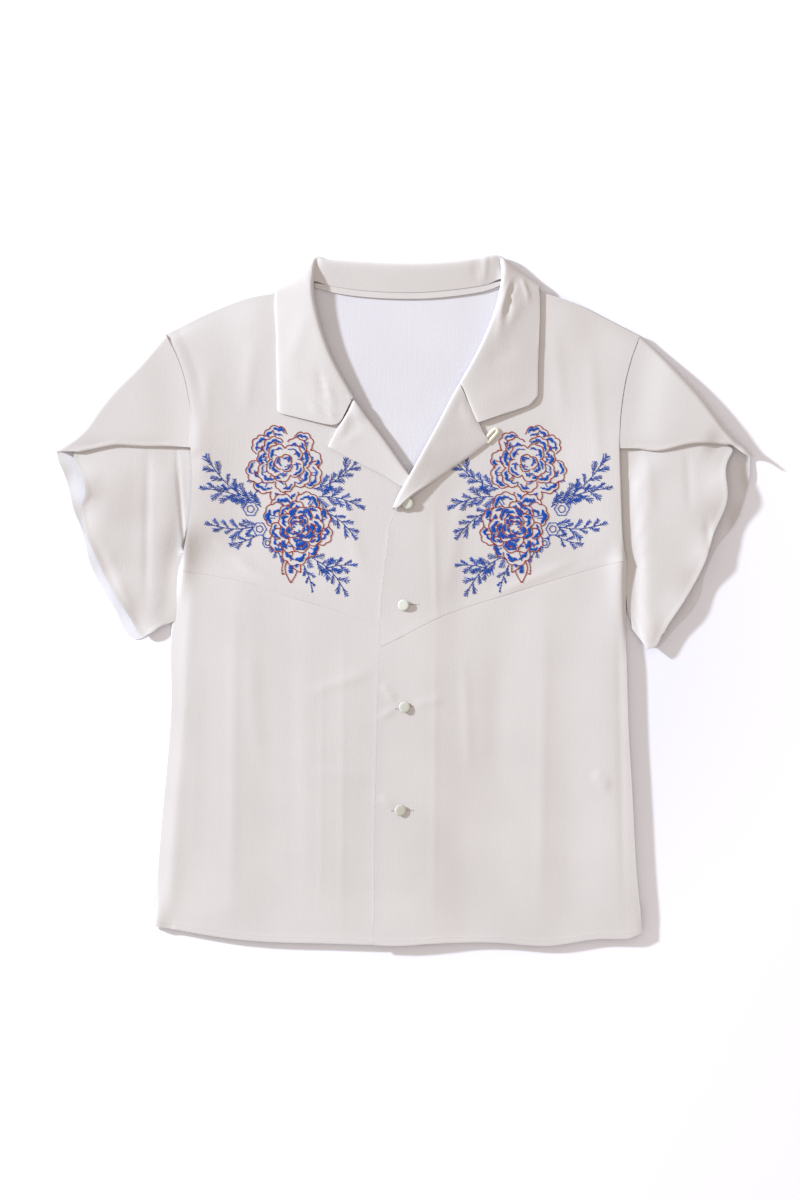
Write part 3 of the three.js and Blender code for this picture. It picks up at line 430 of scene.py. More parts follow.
@dataclass(frozen=True)
class ClothPanel:
    """One sewn piece of cloth: a thin shell on its solid's outer side, with its creases."""

    node: str
    slot: str
    flat_mm: tuple[float, float]
    cut_share: float
    held: str = "laid"
    rests_on: tuple[str, ...] = ()
    wall_mm: float = 0.8
    levels: int = 2
    underside_out: bool = False
    edges: tuple[Edge, ...] = ()
    creases: tuple[Crease, ...] = ()
    sags: tuple[Crease, ...] = ()  # troughs in a folded panel's upper layer alone
    flank: Flank | None = None

    @property
    def outwards(self) -> int:
        """1 where the panel's outer side faces up, -1 where it faces the table."""
        return -1 if self.underside_out else 1

    def outer_side(self) -> bmesh.types.BMesh:
        """Copy the solid and keep only the side of its wall that faces out.

        Returns:
            An open sheet, in quads where the solid's triangles pair up.
        """
        sheet = bmesh.new()
        sheet.from_mesh(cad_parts[self.node].data)
        bmesh.ops.remove_doubles(sheet, verts=sheet.verts, dist=MERGE_DISTANCE)
        up = self.outwards
        first = max(sheet.faces, key=lambda face: up * face.calc_center_median().z
                    + (0 if up * face.normal.z > LEVEL_FACE else -1))
        kept, waiting = {first}, [first]
        while waiting:
            for edge in waiting.pop().edges:
                if len(edge.link_faces) == 2 and edge.calc_face_angle() < RIM_ANGLE:
                    for face in edge.link_faces:
                        if face not in kept:
                            kept.add(face)
                            waiting.append(face)
        rest = [face for face in sheet.faces if face not in kept]
        bmesh.ops.delete(sheet, geom=rest, context="FACES")
        bmesh.ops.join_triangles(sheet, faces=sheet.faces, angle_face_threshold=QUAD_BEND,
                                 angle_shape_threshold=QUAD_SKEW)
        return sheet

    def work_edges(self, sheet: bmesh.types.BMesh) -> None:
        """Draw the sheet's edges under their neighbours, or turn them down.

        Args:
            sheet: The open sheet, changed in place.
        """
        sharpness = sheet.edges.layers.float.new("crease_edge")
        turned = set()
        for rule in self.edges:
            if not (rule.out or rule.down or rule.level is not None):
                continue
            chosen = self.edge_places(sheet, rule)
            border = [edge for edge in sheet.edges if edge.is_boundary
                      and all(vert in chosen and vert not in turned for vert in edge.verts)]
            if not border:
                continue
            outward = ways_out(border)
            if rule.level is None and not rule.down:
                for vert, away in outward.items():
                    vert.co += away.normalized() * rule.out * MM
                continue
            for edge in border:
                edge[sharpness] = rule.crisp
            made = bmesh.ops.extrude_edge_only(sheet, edges=border)["geom"]
            places, directions = point_tree([vert.co for vert in outward]), list(outward.values())
            for vert in [item for item in made if isinstance(item, bmesh.types.BMVert)]:
                turned.add(vert)
                away = directions[places.find(vert.co)[1]].normalized()
                vert.co += away * rule.out * MM
                vert.co.z = vert.co.z - rule.down * MM if rule.level is None else rule.level * MM
        bmesh.ops.recalc_face_normals(sheet, faces=sheet.faces)
        if sum(face.normal.z for face in sheet.faces) * self.outwards < 0:
            bmesh.ops.reverse_faces(sheet, faces=sheet.faces)

    def edge_places(self, sheet: bmesh.types.BMesh, rule: Edge) -> set[bmesh.types.BMVert]:
        """Find the points of the sheet's border that a rule is for."""
        near = None
        if rule.beside:
            near = surface_of(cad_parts[rule.beside])
        chosen = set()
        for vert in sheet.verts:
            if vert.is_boundary and rule.holds(vert.co.x / MM, vert.co.y / MM):
                if near is None or near.find_nearest(vert.co, SEAM_REACH)[0] is not None:
                    chosen.add(vert)
        return chosen

    def build(self, material: bpy.types.Material) -> bpy.types.Object:
        """Make the shell, crease it, thicken it and dress it.

        Args:
            material: The cloth's finish.

        Returns:
            The finished piece.
        """
        sheet = self.outer_side()
        if self.flank:
            self.flank.shape(sheet)
        folds = [(rule, [vert.co.copy() for vert in self.edge_places(sheet, rule)])
                 for rule in self.edges if rule.rise]
        self.work_edges(sheet)
        piece = new_object(self.node + "_cloth", closed(sheet, self.node + "_cloth"))
        reshape(piece, "SUBSURF", levels=self.levels, render_levels=self.levels,
                boundary_smooth="PRESERVE_CORNERS")
        self.crease(piece.data, folds)
        reshape(piece, "SOLIDIFY", thickness=self.wall_mm * MM, offset=-1.0)
        self.lay_on_table(piece.data)
        dress(piece, material)
        piece.data.set_sharp_from_angle(angle=RIM_SHADE_ANGLE)
        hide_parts(self.node)
        return piece

    def lay_on_table(self, mesh: bpy.types.Mesh) -> None:
        """Press the cloth's lowest part together so that nothing lies under the table top."""
        low = min(vert.co.z for vert in mesh.vertices)
        if low < 0:
            for vert in mesh.vertices:
                if vert.co.z < PRESSED:
                    vert.co.z = PRESSED * (vert.co.z - low) / (PRESSED - low)

    def crease(self, mesh: bpy.types.Mesh, folds: list[tuple[Edge, list[Vector]]]) -> None:
        """Raise the creases and the double cloth along folded edges in the shell's points.

        Args:
            mesh: The open shell.
            folds: Edge rules with the border's points along which each lifts the cloth.
        """
        lines = [(rule, dense_line(places)) for rule, places in folds if len(places) > 1]
        for vert in mesh.vertices:
            x, y = vert.co.x / MM, vert.co.y / MM
            height = sum(crease.height_at(x, y) for crease in self.creases)
            upper = ease(*UPPER_LAYER_MM, vert.co.z / MM)
            height += sum(sag.height_at(x, y) for sag in self.sags) * upper
            for rule, line in lines:
                away = line.find(Vector((x, y, 0)))[2]
                height += rule.rise * (1 - ease(rule.reach - rule.soft, rule.reach + rule.soft, away))
            vert.co.z += height * MM


def ways_out(border: list[bmesh.types.BMEdge]) -> dict[bmesh.types.BMVert, Vector]:
    """Find the way out of the sheet at each point of its border.

    Args:
        border: The border's edges.

    Returns:
        For each point the sum of its edges' directions away from their faces.
    """
    outward = {}
    for edge in border:
        face = edge.link_faces[0]
        away = (edge.verts[0].co + edge.verts[1].co) / 2 - face.calc_center_median()
        along = (edge.verts[1].co - edge.verts[0].co).normalized()
        away = (away - along * away.dot(along)).normalized()
        for vert in edge.verts:
            outward[vert] = outward.get(vert, Vector()) + away
    return outward


def dense_line(places: list[Vector], step_mm: float = 0.5) -> KDTree:
    """Join the points of a border into a line and sample it closely.

    Args:
        places: The border's points, in any order.
        step_mm: Distance between the samples.

    Returns:
        A search tree of the samples' plan places in mm.
    """
    rest = [Vector((place.x / MM, place.y / MM, 0)) for place in places]
    middle = sum(rest, Vector()) / len(rest)
    line = [max(rest, key=lambda point: (point - middle).length)]
    rest.remove(line[0])
    while rest:
        nearest = min(rest, key=lambda point: (point - line[-1]).length)
        rest.remove(nearest)
        line.append(nearest)
    samples = []
    for start, end in zip(line, line[1:]):
        if (end - start).length < MAX_BORDER_GAP_MM:
            count = max(1, math.ceil((end - start).length / step_mm))
            samples += [start.lerp(end, stop / count) for stop in range(count + 1)]
    return point_tree(samples)


def surface_of(*pieces: bpy.types.Object) -> BVHTree:
    """Search tree over the faces of some pieces, for laying things on them."""
    joined = bmesh.new()
    for piece in pieces:
        joined.from_mesh(piece.data)
    tree = BVHTree.FromBMesh(joined)
    joined.free()
    return tree


def drop_on(tree: BVHTree, x: float, y: float) -> tuple[Vector, Vector] | None:
    """Find where a plumb line meets the cloth.

    Args:
        tree: The cloth's search tree.
        x: Place across, in mm.
        y: Place up, in mm.

    Returns:
        The point and the surface's normal there, or None off the cloth.
    """
    place, normal, _, _ = tree.ray_cast(Vector((x * MM, y * MM, ABOVE_CLOTH)), Vector((0, 0, -1)))
    if place is None:
        return None
    return place, normal if normal.z > 0 else -normal


class ThreadWork:
    """Stitches of one thread on the cloth, gathered into one piece."""

    SIDES = 6                      # faces round a stitch
    RINGS = 4                      # and along it
    CHUNK = 14                     # stitches made at a time, as small meshes grow faster
    SHORTEST_MM = 0.05             # a shorter stitch is left out
    HALF_LENGTH = 0.56             # as a share of the way, so that stitches overlap a little
    HEIGHT = 0.8                   # as a share of the width
    STANDS = 0.25                  # how far the middle stands above the cloth, in radii

    def __init__(self, name: str, tree: BVHTree) -> None:
        """Start an empty piece of thread work.

        Args:
            name: The finished piece's name.
            tree: The cloth that the stitches lie on.
        """
        self.name = name
        self.tree = tree
        self.whole = bpy.data.meshes.new(name)

    def lay(self, stitches: list[Stitch]) -> None:
        """Lay a run of stitches on the cloth."""
        chunks = []
        for first in range(0, len(stitches), self.CHUNK):
            part = bmesh.new()
            for stitch in stitches[first:first + self.CHUNK]:
                self.lay_one(part, stitch)
            chunks.append(closed(part, "stitches"))
        whole = bmesh.new()
        for chunk in [self.whole, *chunks]:
            whole.from_mesh(chunk)
        whole.to_mesh(self.whole)
        whole.free()
        for chunk in chunks:
            bpy.data.meshes.remove(chunk)

    def lay_one(self, part: bmesh.types.BMesh, stitch: Stitch) -> None:
        """Lay one stitch, drawn-out and flattened, between two places on the cloth."""
        x0, y0, x1, y1, width = stitch
        first, last = drop_on(self.tree, x0, y0), drop_on(self.tree, x1, y1)
        if first is None or last is None:
            return
        (start, normal_a), (end, normal_b) = first, last
        along = end - start
        if along.length < self.SHORTEST_MM * MM:
            return
        aside = (normal_a + normal_b).cross(along).normalized()
        up = along.cross(aside).normalized()
        radius = 0.5 * width * MM
        axes = Matrix((along * self.HALF_LENGTH, aside * radius, up * radius * self.HEIGHT))
        middle = (start + end) / 2 + up * radius * self.STANDS
        place = Matrix.Translation(middle) @ axes.transposed().to_4x4()
        bmesh.ops.create_uvsphere(part, u_segments=self.SIDES, v_segments=self.RINGS, radius=1.0,
                                  matrix=place @ Matrix.Rotation(math.pi / 2, 4, "Y"))

    def finish(self, material: bpy.types.Material, slot: str) -> bpy.types.Object:
        """Close the piece and dress it."""
        piece = new_object(self.name, self.whole)
        fix = bmesh.new()
        fix.from_mesh(self.whole)
        bmesh.ops.recalc_face_normals(fix, faces=fix.faces)
        fix.to_mesh(self.whole)
        fix.free()
        dress(piece, material)
        return piece


@dataclass(frozen=True)
class Run:
    """How a line of running stitches is sewn, in mm."""

    stitch: float                  # length of one stitch
    gap: float                     # bare cloth between two stitches
    width: float                   # of the thread


PETAL_RIM = Run(1.9, 0.1, 1.2)
PETAL_VEIN = Run(2.2, 0.2, 1.15)
TWIG_STEM = Run(2.8, 0.3, 1.1)
LEAFLET_RIB = Run(2.6, 0.2, 0.8)
LEAFLET_BARB = Run(4.4, 0.1, 0.8)
ROSETTE_RIM = Run(2.4, 0.2, 1.1)
ROSETTE_HEART = Run(2.0, 0.2, 1.1)
SEPAL_RIM = Run(2.6, 0.1, 1.2)
SATIN_MM = 1.35                    # width of the satin stitches that fill a shape
SATIN_PITCH_MM = 0.85              # distance between them
SHORTEST_SATIN_MM = 0.5            # a shorter one is left out
SATIN_SHIFT_MM = 0.3               # how far one may lie beside its place
THREAD_WIDTHS = (0.88, 1.1)        # range of a running stitch's width, as shares
BARB_PITCH_MM = 2.4                # distance between a leaflet's barbs


class Thread(Enum):
    """The embroidery's threads."""

    RED = "red_thread"
    BLUE = "blue_thread"
    NAVY = "navy_thread"


def towards(angle: float, length: float, start: Plan = (0.0, 0.0)) -> Plan:
    """The place at a length from a start, in a direction in radians from +X towards +Y."""
    return start[0] + length * math.cos(angle), start[1] + length * math.sin(angle)


def inside(place: Plan, outline: list[Plan]) -> bool:
    """Tell whether a place lies inside a closed outline."""
    x, y = place
    crossings = 0
    for (x0, y0), (x1, y1) in zip(outline, outline[1:] + outline[:1]):
        if (y0 > y) != (y1 > y) and x < x0 + (y - y0) * (x1 - x0) / (y1 - y0):
            crossings += 1
    return crossings % 2 == 1


@dataclass
class Drawing:
    """Stitches of an embroidered spray, in mm about the spray's own place."""

    random: Random
    stitches: dict[Thread, list[Stitch]] = field(
        default_factory=lambda: {thread: [] for thread in Thread})

    def hide_inside(self, outline: list[Plan]) -> None:
        """Leave out what was drawn so far inside an outline, which lies in front of it."""
        for thread, drawn in self.stitches.items():
            self.stitches[thread] = [stitch for stitch in drawn if not inside(
                ((stitch[0] + stitch[2]) / 2, (stitch[1] + stitch[3]) / 2), outline)]

    def line(self, thread: Thread, path: list[Plan], run: Run) -> None:
        """Sew along a path in running stitches.

        Args:
            thread: Its thread.
            path: The points of the path.
            run: How it is sewn.
        """
        lengths = [math.dist(a, b) for a, b in zip(path, path[1:])]
        total = sum(lengths)
        count = max(1, round(total / (run.stitch + run.gap)))
        pitch = total / count

        def at(distance: float) -> Plan:
            """The place at a distance along the path."""
            for (a, b), length in zip(zip(path, path[1:]), lengths):
                if distance <= length or b == path[-1]:
                    share = min(1.0, distance / max(length, 1e-6))
                    return a[0] + share * (b[0] - a[0]), a[1] + share * (b[1] - a[1])
                distance -= length
            return path[-1]

        for index in range(count):
            first = at(index * pitch)
            last = at(index * pitch + pitch - run.gap)
            width = run.width * self.random.uniform(*THREAD_WIDTHS)
            self.stitches[thread].append((*first, *last, width))

    def satin(self, thread: Thread, inner: list[Plan], outer: list[Plan]) -> None:
        """Fill the strip between two paths with stitches that lie side by side across it."""
        for start, end in zip(inner, outer):
            if math.dist(start, end) > SHORTEST_SATIN_MM:
                shift = self.random.uniform(-SATIN_SHIFT_MM, SATIN_SHIFT_MM)
                self.stitches[thread].append(
                    (start[0] + shift, start[1], end[0] + shift, end[1] + shift, SATIN_MM))


@dataclass(frozen=True)
class Petal:
    """A fan-shaped petal with a ruffled rim."""

    base: Plan
    heading: float
    length: float
    spread: float                  # half angle of the fan
    lobes: int
    phase: float = 0.0
    HALF_STOPS = 12                # points on each half of the outline
    SEWN_STOPS = 32                # and where the rim is sewn
    ROUND = (1.15, 0.45)           # how far round the fan's sides fall back, and how squarely
    RUFFLE = (0.9, 0.12, 0.6)      # the rim's shortest reach, its waves' height and how blunt they are
    # how far out each crescent lies, and how much of the full width it has
    OUTER_CRESCENT = ((0.72, 0.84), (0.6, 1.1))
    MIDDLE_CRESCENT = ((0.5, 0.8), (0.3, 0.9))
    INNER_CRESCENT = ((0.42, 0.58), (0.3, 0.6))
    STARTS = (-0.2, 0.1)           # where a crescent begins, as a share of the petal's spread
    ENDS = (0.6, 0.88)
    CUT = 0.06                     # share of its length that is left out at each pointed end
    BLUNT = 0.7                    # below 1, its ends are blunter than a sine's
    BENEATH = 0.4                  # share of its width that lies nearer the petal's foot
    LAG = 0.05                     # how much farther round its outer side lies, in radians
    VEIN_ANGLE = 0.5               # how far from the middle a vein may lie, as a share of the spread
    VEIN_STARTS = (0.3, 0.5)       # where veins begin, as shares of the way out
    VEIN_ENDS = (0.66, 0.86)
    BLUE_VEINS = 0.4               # share of the veins that are blue

    def rim(self, angle: float, share: float = 1.0) -> Plan:
        """A place on the rim, or at a share of the way out to it."""
        sides, square = self.ROUND
        swell = math.cos(min(1.0, abs(angle) / self.spread) * sides) ** square
        turn = self.lobes * math.pi * (angle / self.spread + 1) / 2 + self.phase
        least, wave, blunt = self.RUFFLE
        ruffle = least + wave * abs(math.sin(turn)) ** blunt
        return towards(self.heading + angle, self.length * swell * ruffle * share, self.base)

    def outline(self) -> list[Plan]:
        """The closed outline."""
        stops = range(-self.HALF_STOPS, self.HALF_STOPS + 1)
        return [self.base] + [self.rim(self.spread * stop / self.HALF_STOPS) for stop in stops]

    def crescent(self, drawing: Drawing, side: int, kind: tuple[Plan, Plan], filled: float) -> None:
        """Fill a crescent along one side of the petal with satin stitches.

        Args:
            drawing: The spray's drawing.
            side: 1 or -1, for the side that it lies on.
            kind: Range of how far out it lies, and of its share of the full width.
            filled: The full width, in mm.
        """
        random = drawing.random
        depth, thick = random.uniform(*kind[0]), filled * random.uniform(*kind[1])
        first = side * self.spread * random.uniform(*self.STARTS)
        last = side * self.spread * random.uniform(*self.ENDS)
        stops = max(4, round(self.length * abs(last - first) * depth / SATIN_PITCH_MM))
        inner, outer = [], []
        for stop in range(stops + 1):
            share = stop / stops
            angle = first + share * (last - first)
            along = self.CUT + (1 - 2 * self.CUT) * share
            swell = thick / self.length * math.sin(math.pi * along) ** self.BLUNT
            inner.append(self.rim(angle, depth - self.BENEATH * swell))
            outer.append(self.rim(angle + self.LAG * side, depth + (1 - self.BENEATH) * swell))
        drawing.satin(Thread.BLUE, inner, outer)

    def draw(self, drawing: Drawing, filled: float) -> None:
        """Draw the petal in front of what is there.

        Args:
            drawing: The spray's drawing.
            filled: Greatest width of its crescents, in mm.
        """
        drawing.hide_inside(self.outline())
        random = drawing.random
        rim = [self.rim(self.spread * stop / self.SEWN_STOPS)
               for stop in range(1 - self.SEWN_STOPS, self.SEWN_STOPS)]
        drawing.line(Thread.RED, rim, PETAL_RIM)
        side = random.choice((-1, 1))
        self.crescent(drawing, side, self.OUTER_CRESCENT, filled)
        self.crescent(drawing, -side, self.MIDDLE_CRESCENT, filled)
        if random.random() < 0.5:
            self.crescent(drawing, side, self.INNER_CRESCENT, filled)
        for _ in range(random.choice((1, 2, 2))):
            angle = self.spread * random.uniform(-self.VEIN_ANGLE, self.VEIN_ANGLE)
            start, stop = random.uniform(*self.VEIN_STARTS), random.uniform(*self.VEIN_ENDS)
            vein = [self.rim(angle + 0.1 * step * random.uniform(0, 0.4), start
                             + (stop - start) * step / 4) for step in range(5)]
            thread = Thread.BLUE if random.random() < self.BLUE_VEINS else Thread.RED
            drawing.line(thread, vein, PETAL_VEIN)


@dataclass(frozen=True)
class Ring:
    """One ring of a peony's petals."""

    count: int
    base: float                    # distance of the petals' feet from the heart, as a share
    length: float
    spread: float
    lobes: int
    filled: float                  # width of the blue crescents, in mm


@dataclass(frozen=True)
class Peony:
    """A full double peony, drawn from its outer petals inwards."""

    centre: Plan
    radius: float
    squash: float
    turn: float
    rings: tuple[Ring, ...]
    SWAY = 0.26                    # how far a petal may turn from its place in the ring
    LENGTHS = (0.86, 1.12)         # range of the petals' lengths
    SPREADS = (0.85, 1.1)          # and of their spreads
    PHASE = 1.2                    # how far the ruffle may start from its middle

    def draw(self, drawing: Drawing) -> None:
        """Draw the flower in front of what is there."""
        for ring in self.rings:
            order = list(range(ring.count))
            drawing.random.shuffle(order)
            for index in order:
                heading = self.turn + math.tau * (index + 0.5 * ring.lobes) / ring.count
                heading += drawing.random.uniform(-self.SWAY, self.SWAY)
                flat = 1 - self.squash * abs(math.cos(heading))
                foot = towards(heading, self.radius * ring.base * flat, self.centre)
                length = self.radius * ring.length * flat * drawing.random.uniform(*self.LENGTHS)
                spread = ring.spread * drawing.random.uniform(*self.SPREADS)
                phase = drawing.random.uniform(-self.PHASE, self.PHASE)
                Petal(foot, heading, length, spread, ring.lobes, phase).draw(drawing, ring.filled)


@dataclass(frozen=True)
class Fern:
    """A leafy twig: a bowed stem with feathered leaflets on both sides."""

    start: Plan
    end: Plan
    bow: float
    leaflets: int
    leaf_mm: float
    STOPS = 12                     # lengths that the stem's bow is drawn in
    LEAN = (0.45, 0.85)            # angles between the stem and its leaflets, in radians
    BARB_LEAN = (0.4, 0.75)        # and between a leaflet's rib and its barbs
    LENGTHS = (0.8, 1.25)          # range of the leaflets' lengths, as shares of leaf_mm
    SHORTER = 0.2                  # how much shorter they are at the tip
    HALF_WIDTHS = (0.34, 0.46)     # range of half a leaflet's width, as shares of its length
    BARB_LENGTHS = (0.75, 1.2)     # range of the barbs' lengths, as shares of that
    BLUE_BARBS = 0.7               # share of the barbs that are blue

    def place(self, share: float) -> Plan:
        """A place along the stem."""
        run = (self.end[0] - self.start[0], self.end[1] - self.start[1])
        length = math.hypot(*run)
        aside = self.bow * math.sin(math.pi * share)
        return (self.start[0] + share * run[0] - aside * run[1] / length,
                self.start[1] + share * run[1] + aside * run[0] / length)

    def draw(self, drawing: Drawing) -> None:
        """Draw the twig, which flowers drawn later may hide in part."""
        random = drawing.random
        stem = [self.place(stop / self.STOPS) for stop in range(self.STOPS + 1)]
        drawing.line(Thread.NAVY, stem, TWIG_STEM)
        for index in range(self.leaflets + 1):
            share = (index + 0.6) / (self.leaflets + 0.6)
            foot, ahead = self.place(share - 0.04), self.place(share + 0.02)
            heading = math.atan2(ahead[1] - foot[1], ahead[0] - foot[0])
            side = 0 if index == self.leaflets else (1 if index % 2 else -1)
            length = self.leaf_mm * random.uniform(*self.LENGTHS) * (1.0 - self.SHORTER * share)
            self.leaflet(drawing, foot, heading + side * random.uniform(*self.LEAN), length)

    def leaflet(self, drawing: Drawing, foot: Plan, heading: float, length: float) -> None:
        """Draw one feathery leaflet: its rib and the short barbs on both sides of it."""
        random = drawing.random
        half = length * random.uniform(*self.HALF_WIDTHS)
        drawing.line(Thread.NAVY, [foot, towards(heading, length, foot)], LEAFLET_RIB)
        barbs = max(3, round(length / BARB_PITCH_MM))
        for index in range(barbs):
            share = (index + 0.8) / (barbs + 0.6)
            root = towards(heading, length * share, foot)
            for side in (-1, 1):
                reach = half * math.sin(math.pi * share) ** 0.6 * random.uniform(*self.BARB_LENGTHS)
                tip = towards(heading + side * random.uniform(*self.BARB_LEAN), reach, root)
                thread = Thread.BLUE if random.random() < self.BLUE_BARBS else Thread.NAVY
                drawing.line(thread, [root, tip], LEAFLET_BARB)


@dataclass(frozen=True)
class Rosette:
    """A small round flower head in two scalloped rings."""

    centre: Plan
    radius: float
    STOPS = 40                     # points on each ring
    SCALLOP = 0.12                 # height of the scallops, as a share of the radius
    HEART = 0.52                   # radius of the inner ring, as a share of the outer one's

    def ring(self, radius: float, lobes: int) -> list[Plan]:
        """A closed scalloped ring about the centre."""
        turns = [math.tau * stop / self.STOPS for stop in range(self.STOPS + 1)]
        return [towards(turn, radius * (1 + self.SCALLOP * math.cos(lobes * turn)), self.centre)
                for turn in turns]

    def draw(self, drawing: Drawing) -> None:
        """Draw it in front of what is there."""
        rim = self.ring(self.radius, 6)
        drawing.hide_inside(rim)
        drawing.line(Thread.BLUE, rim, ROSETTE_RIM)
        drawing.line(Thread.NAVY, self.ring(self.radius * self.HEART, 5), ROSETTE_HEART)


@dataclass(frozen=True)
class Bud:
    """Drooping sepals below the flowers: drops outlined in red about a blue core."""

    foot: Plan
    drops: tuple[tuple[float, float], ...]   # heading in degrees, length in mm
    STOPS = 14                     # lengths that each side is drawn in
    HALF_WIDTH = 0.24              # of a drop, as a share of its length
    CORE = (0.09, 0.11)            # and of its core's two sides
    FULLEST = 0.8                  # below 1, a drop is fullest nearer its foot

    def edge(self, drop: tuple[float, float], share: float, half_width: float) -> Plan:
        """A place at a share of a drop's length, to the left of its middle by a half width."""
        degrees, length = drop
        heading = math.radians(degrees)
        middle = towards(heading, length * share, self.foot)
        swell = half_width * length * math.sin(math.pi * share ** self.FULLEST)
        return towards(heading + math.pi / 2, swell, middle)

    def draw(self, drawing: Drawing) -> None:
        """Draw it in front of what is there."""
        core = [0.2 + 0.05 * stop for stop in range(9)]
        shares = [stop / self.STOPS for stop in range(self.STOPS + 1)]
        for drop in self.drops:
            left, right = ([self.edge(drop, share, half) for share in shares]
                           for half in (self.HALF_WIDTH, -self.HALF_WIDTH))
            drawing.hide_inside(left + right[::-1])
            drawing.line(Thread.RED, left, SEPAL_RIM)
            drawing.line(Thread.RED, right, SEPAL_RIM)
            drawing.satin(Thread.BLUE, [self.edge(drop, share, self.CORE[0]) for share in core],
                          [self.edge(drop, share, -self.CORE[1]) for share in core])


FULL_RINGS = (Ring(8, 0.46, 0.56, 1.0, 4, 5.2), Ring(8, 0.34, 0.44, 1.0, 3, 5.4),
              Ring(7, 0.2, 0.38, 1.05, 3, 5.0), Ring(5, 0.08, 0.3, 1.1, 3, 4.0),
              Ring(3, 0.0, 0.2, 1.1, 2, 2.6))
OPEN_RINGS = (Ring(8, 0.46, 0.56, 0.95, 4, 4.0), Ring(7, 0.28, 0.46, 1.0, 4, 4.2),
              Ring(5, 0.12, 0.38, 1.05, 3, 3.8), Ring(3, 0.0, 0.24, 1.1, 3, 2.6))
TWIGS = (Fern((-146, 98), (-192, 136), 5, 10, 15), Fern((-142, 94), (-194, 112), -3, 9, 14),
         Fern((-144, 76), (-191, 76), 4, 9, 14), Fern((-130, 106), (-150, 130), 2, 5, 12),
         Fern((-90, 112), (-50, 136), -4, 9, 15), Fern((-88, 104), (-49, 97), 3, 8, 14),
         Fern((-84, 92), (-52, 68), 3, 8, 13), Fern((-98, 46), (-60, 12), 5, 9, 14),
         Fern((-84, 30), (-54, 36), 2, 6, 12), Fern((-142, 66), (-124, 46), 2, 5, 11),
         Fern((-146, 66), (-166, 58), 1, 4, 10), Fern((-100, 36), (-92, 14), 1, 4, 9))
ROSETTES = (Rosette((-153, 92), 6.8), Rosette((-144, 72), 6.4), Rosette((-136, 58), 4.8))
UPPER_PEONY = Peony((-119, 138), 41, 0.06, 0.2, OPEN_RINGS)
LOWER_PEONY = Peony((-106, 74), 36, 0.06, 0.5, FULL_RINGS)
BUD = Bud((-112, 44), ((-118, 20), (-92, 26), (-60, 18)))


@dataclass(frozen=True)
class EmbroideredSpray:
    """Two peonies, one above the other, with leafy twigs, on one yoke of the blouse."""

    side: Side
    mirror_x: float = 2.5          # the two sprays mirror each other about this line
    seed: int = 11

    def drawing(self) -> Drawing:
        """Draw the spray of the viewer's left, which the right one mirrors."""
        drawing = Drawing(Random(self.seed))
        for shape in (*TWIGS, *ROSETTES, UPPER_PEONY, BUD, LOWER_PEONY):
            shape.draw(drawing)
        return drawing

    def build(self, cloth: bpy.types.Object, finishes: dict[str, bpy.types.Material]) -> list:
        """Sew the spray onto the yoke.

        Args:
            cloth: The yoke's finished piece.
            finishes: Materials by their slot.

        Returns:
            The pieces of thread work, one for each thread.
        """
        tree = surface_of(cloth)
        pieces = []
        for thread, stitches in self.drawing().stitches.items():
            work = ThreadWork(f"{self.side.word}_embroidery_{thread.name.lower()}", tree)
            if self.side is Side.RIGHT:
                stitches = [(2 * self.mirror_x - x0, y0, 2 * self.mirror_x - x1, y1, width)
                            for x0, y0, x1, y1, width in stitches]
            work.lay(stitches)
            pieces.append(work.finish(finishes[thread.value], thread.value))
        return pieces


@dataclass(frozen=True)
class CoveredButton:
    """A cloth-covered button: a flat disc with a rounded rim on a short shank, tipped a little."""

    node: str
    tip_x: float                   # degrees about X
    tip_y: float                   # degrees about Y
    radius_mm: float = 5.7
    thick_mm: float = 1.4
    lift_mm: float = 0.7           # underside of the disc above the node's lowest point
    STEPS = 36
    # from the crown round the rim to the shank's foot, in radii out and thicknesses up
    PROFILE = ((0, 1), (0.35, 1.02), (0.7, 0.99), (0.87, 0.9), (0.97, 0.66), (1, 0.4),
               (0.93, 0.1), (0.8, 0), (0.34, -0.05), (0.28, -0.55), (0, -0.55))

    def build(self, material: bpy.types.Material) -> bpy.types.Object:
        """Turn the disc from its profile and set it on its button's place."""
        low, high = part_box(self.node)
        disc = bmesh.new()
        points = [disc.verts.new((out * self.radius_mm * MM, 0, up * self.thick_mm * MM))
                  for out, up in self.PROFILE]
        edges = [disc.edges.new(pair) for pair in zip(points, points[1:])]
        bmesh.ops.spin(disc, geom=points + edges, cent=(0, 0, 0), axis=(0, 0, 1),
                       angle=math.tau, steps=self.STEPS, use_merge=True)
        bmesh.ops.remove_doubles(disc, verts=disc.verts, dist=MERGE_DISTANCE)
        bmesh.ops.recalc_face_normals(disc, faces=disc.faces)
        place = Vector(((low[0] + high[0]) / 2, (low[1] + high[1]) / 2, low[2] + self.lift_mm * MM))
        turn = (Matrix.Rotation(math.radians(self.tip_x), 4, "X")
                @ Matrix.Rotation(math.radians(self.tip_y), 4, "Y"))
        bmesh.ops.transform(disc, matrix=Matrix.Translation(place) @ turn, verts=disc.verts)
        piece = new_object(self.node + "_cover", closed(disc, self.node + "_cover"))
        reshape(piece, "SUBSURF", levels=1, render_levels=1)
        dress(piece, material)
        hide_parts(self.node)
        return piece


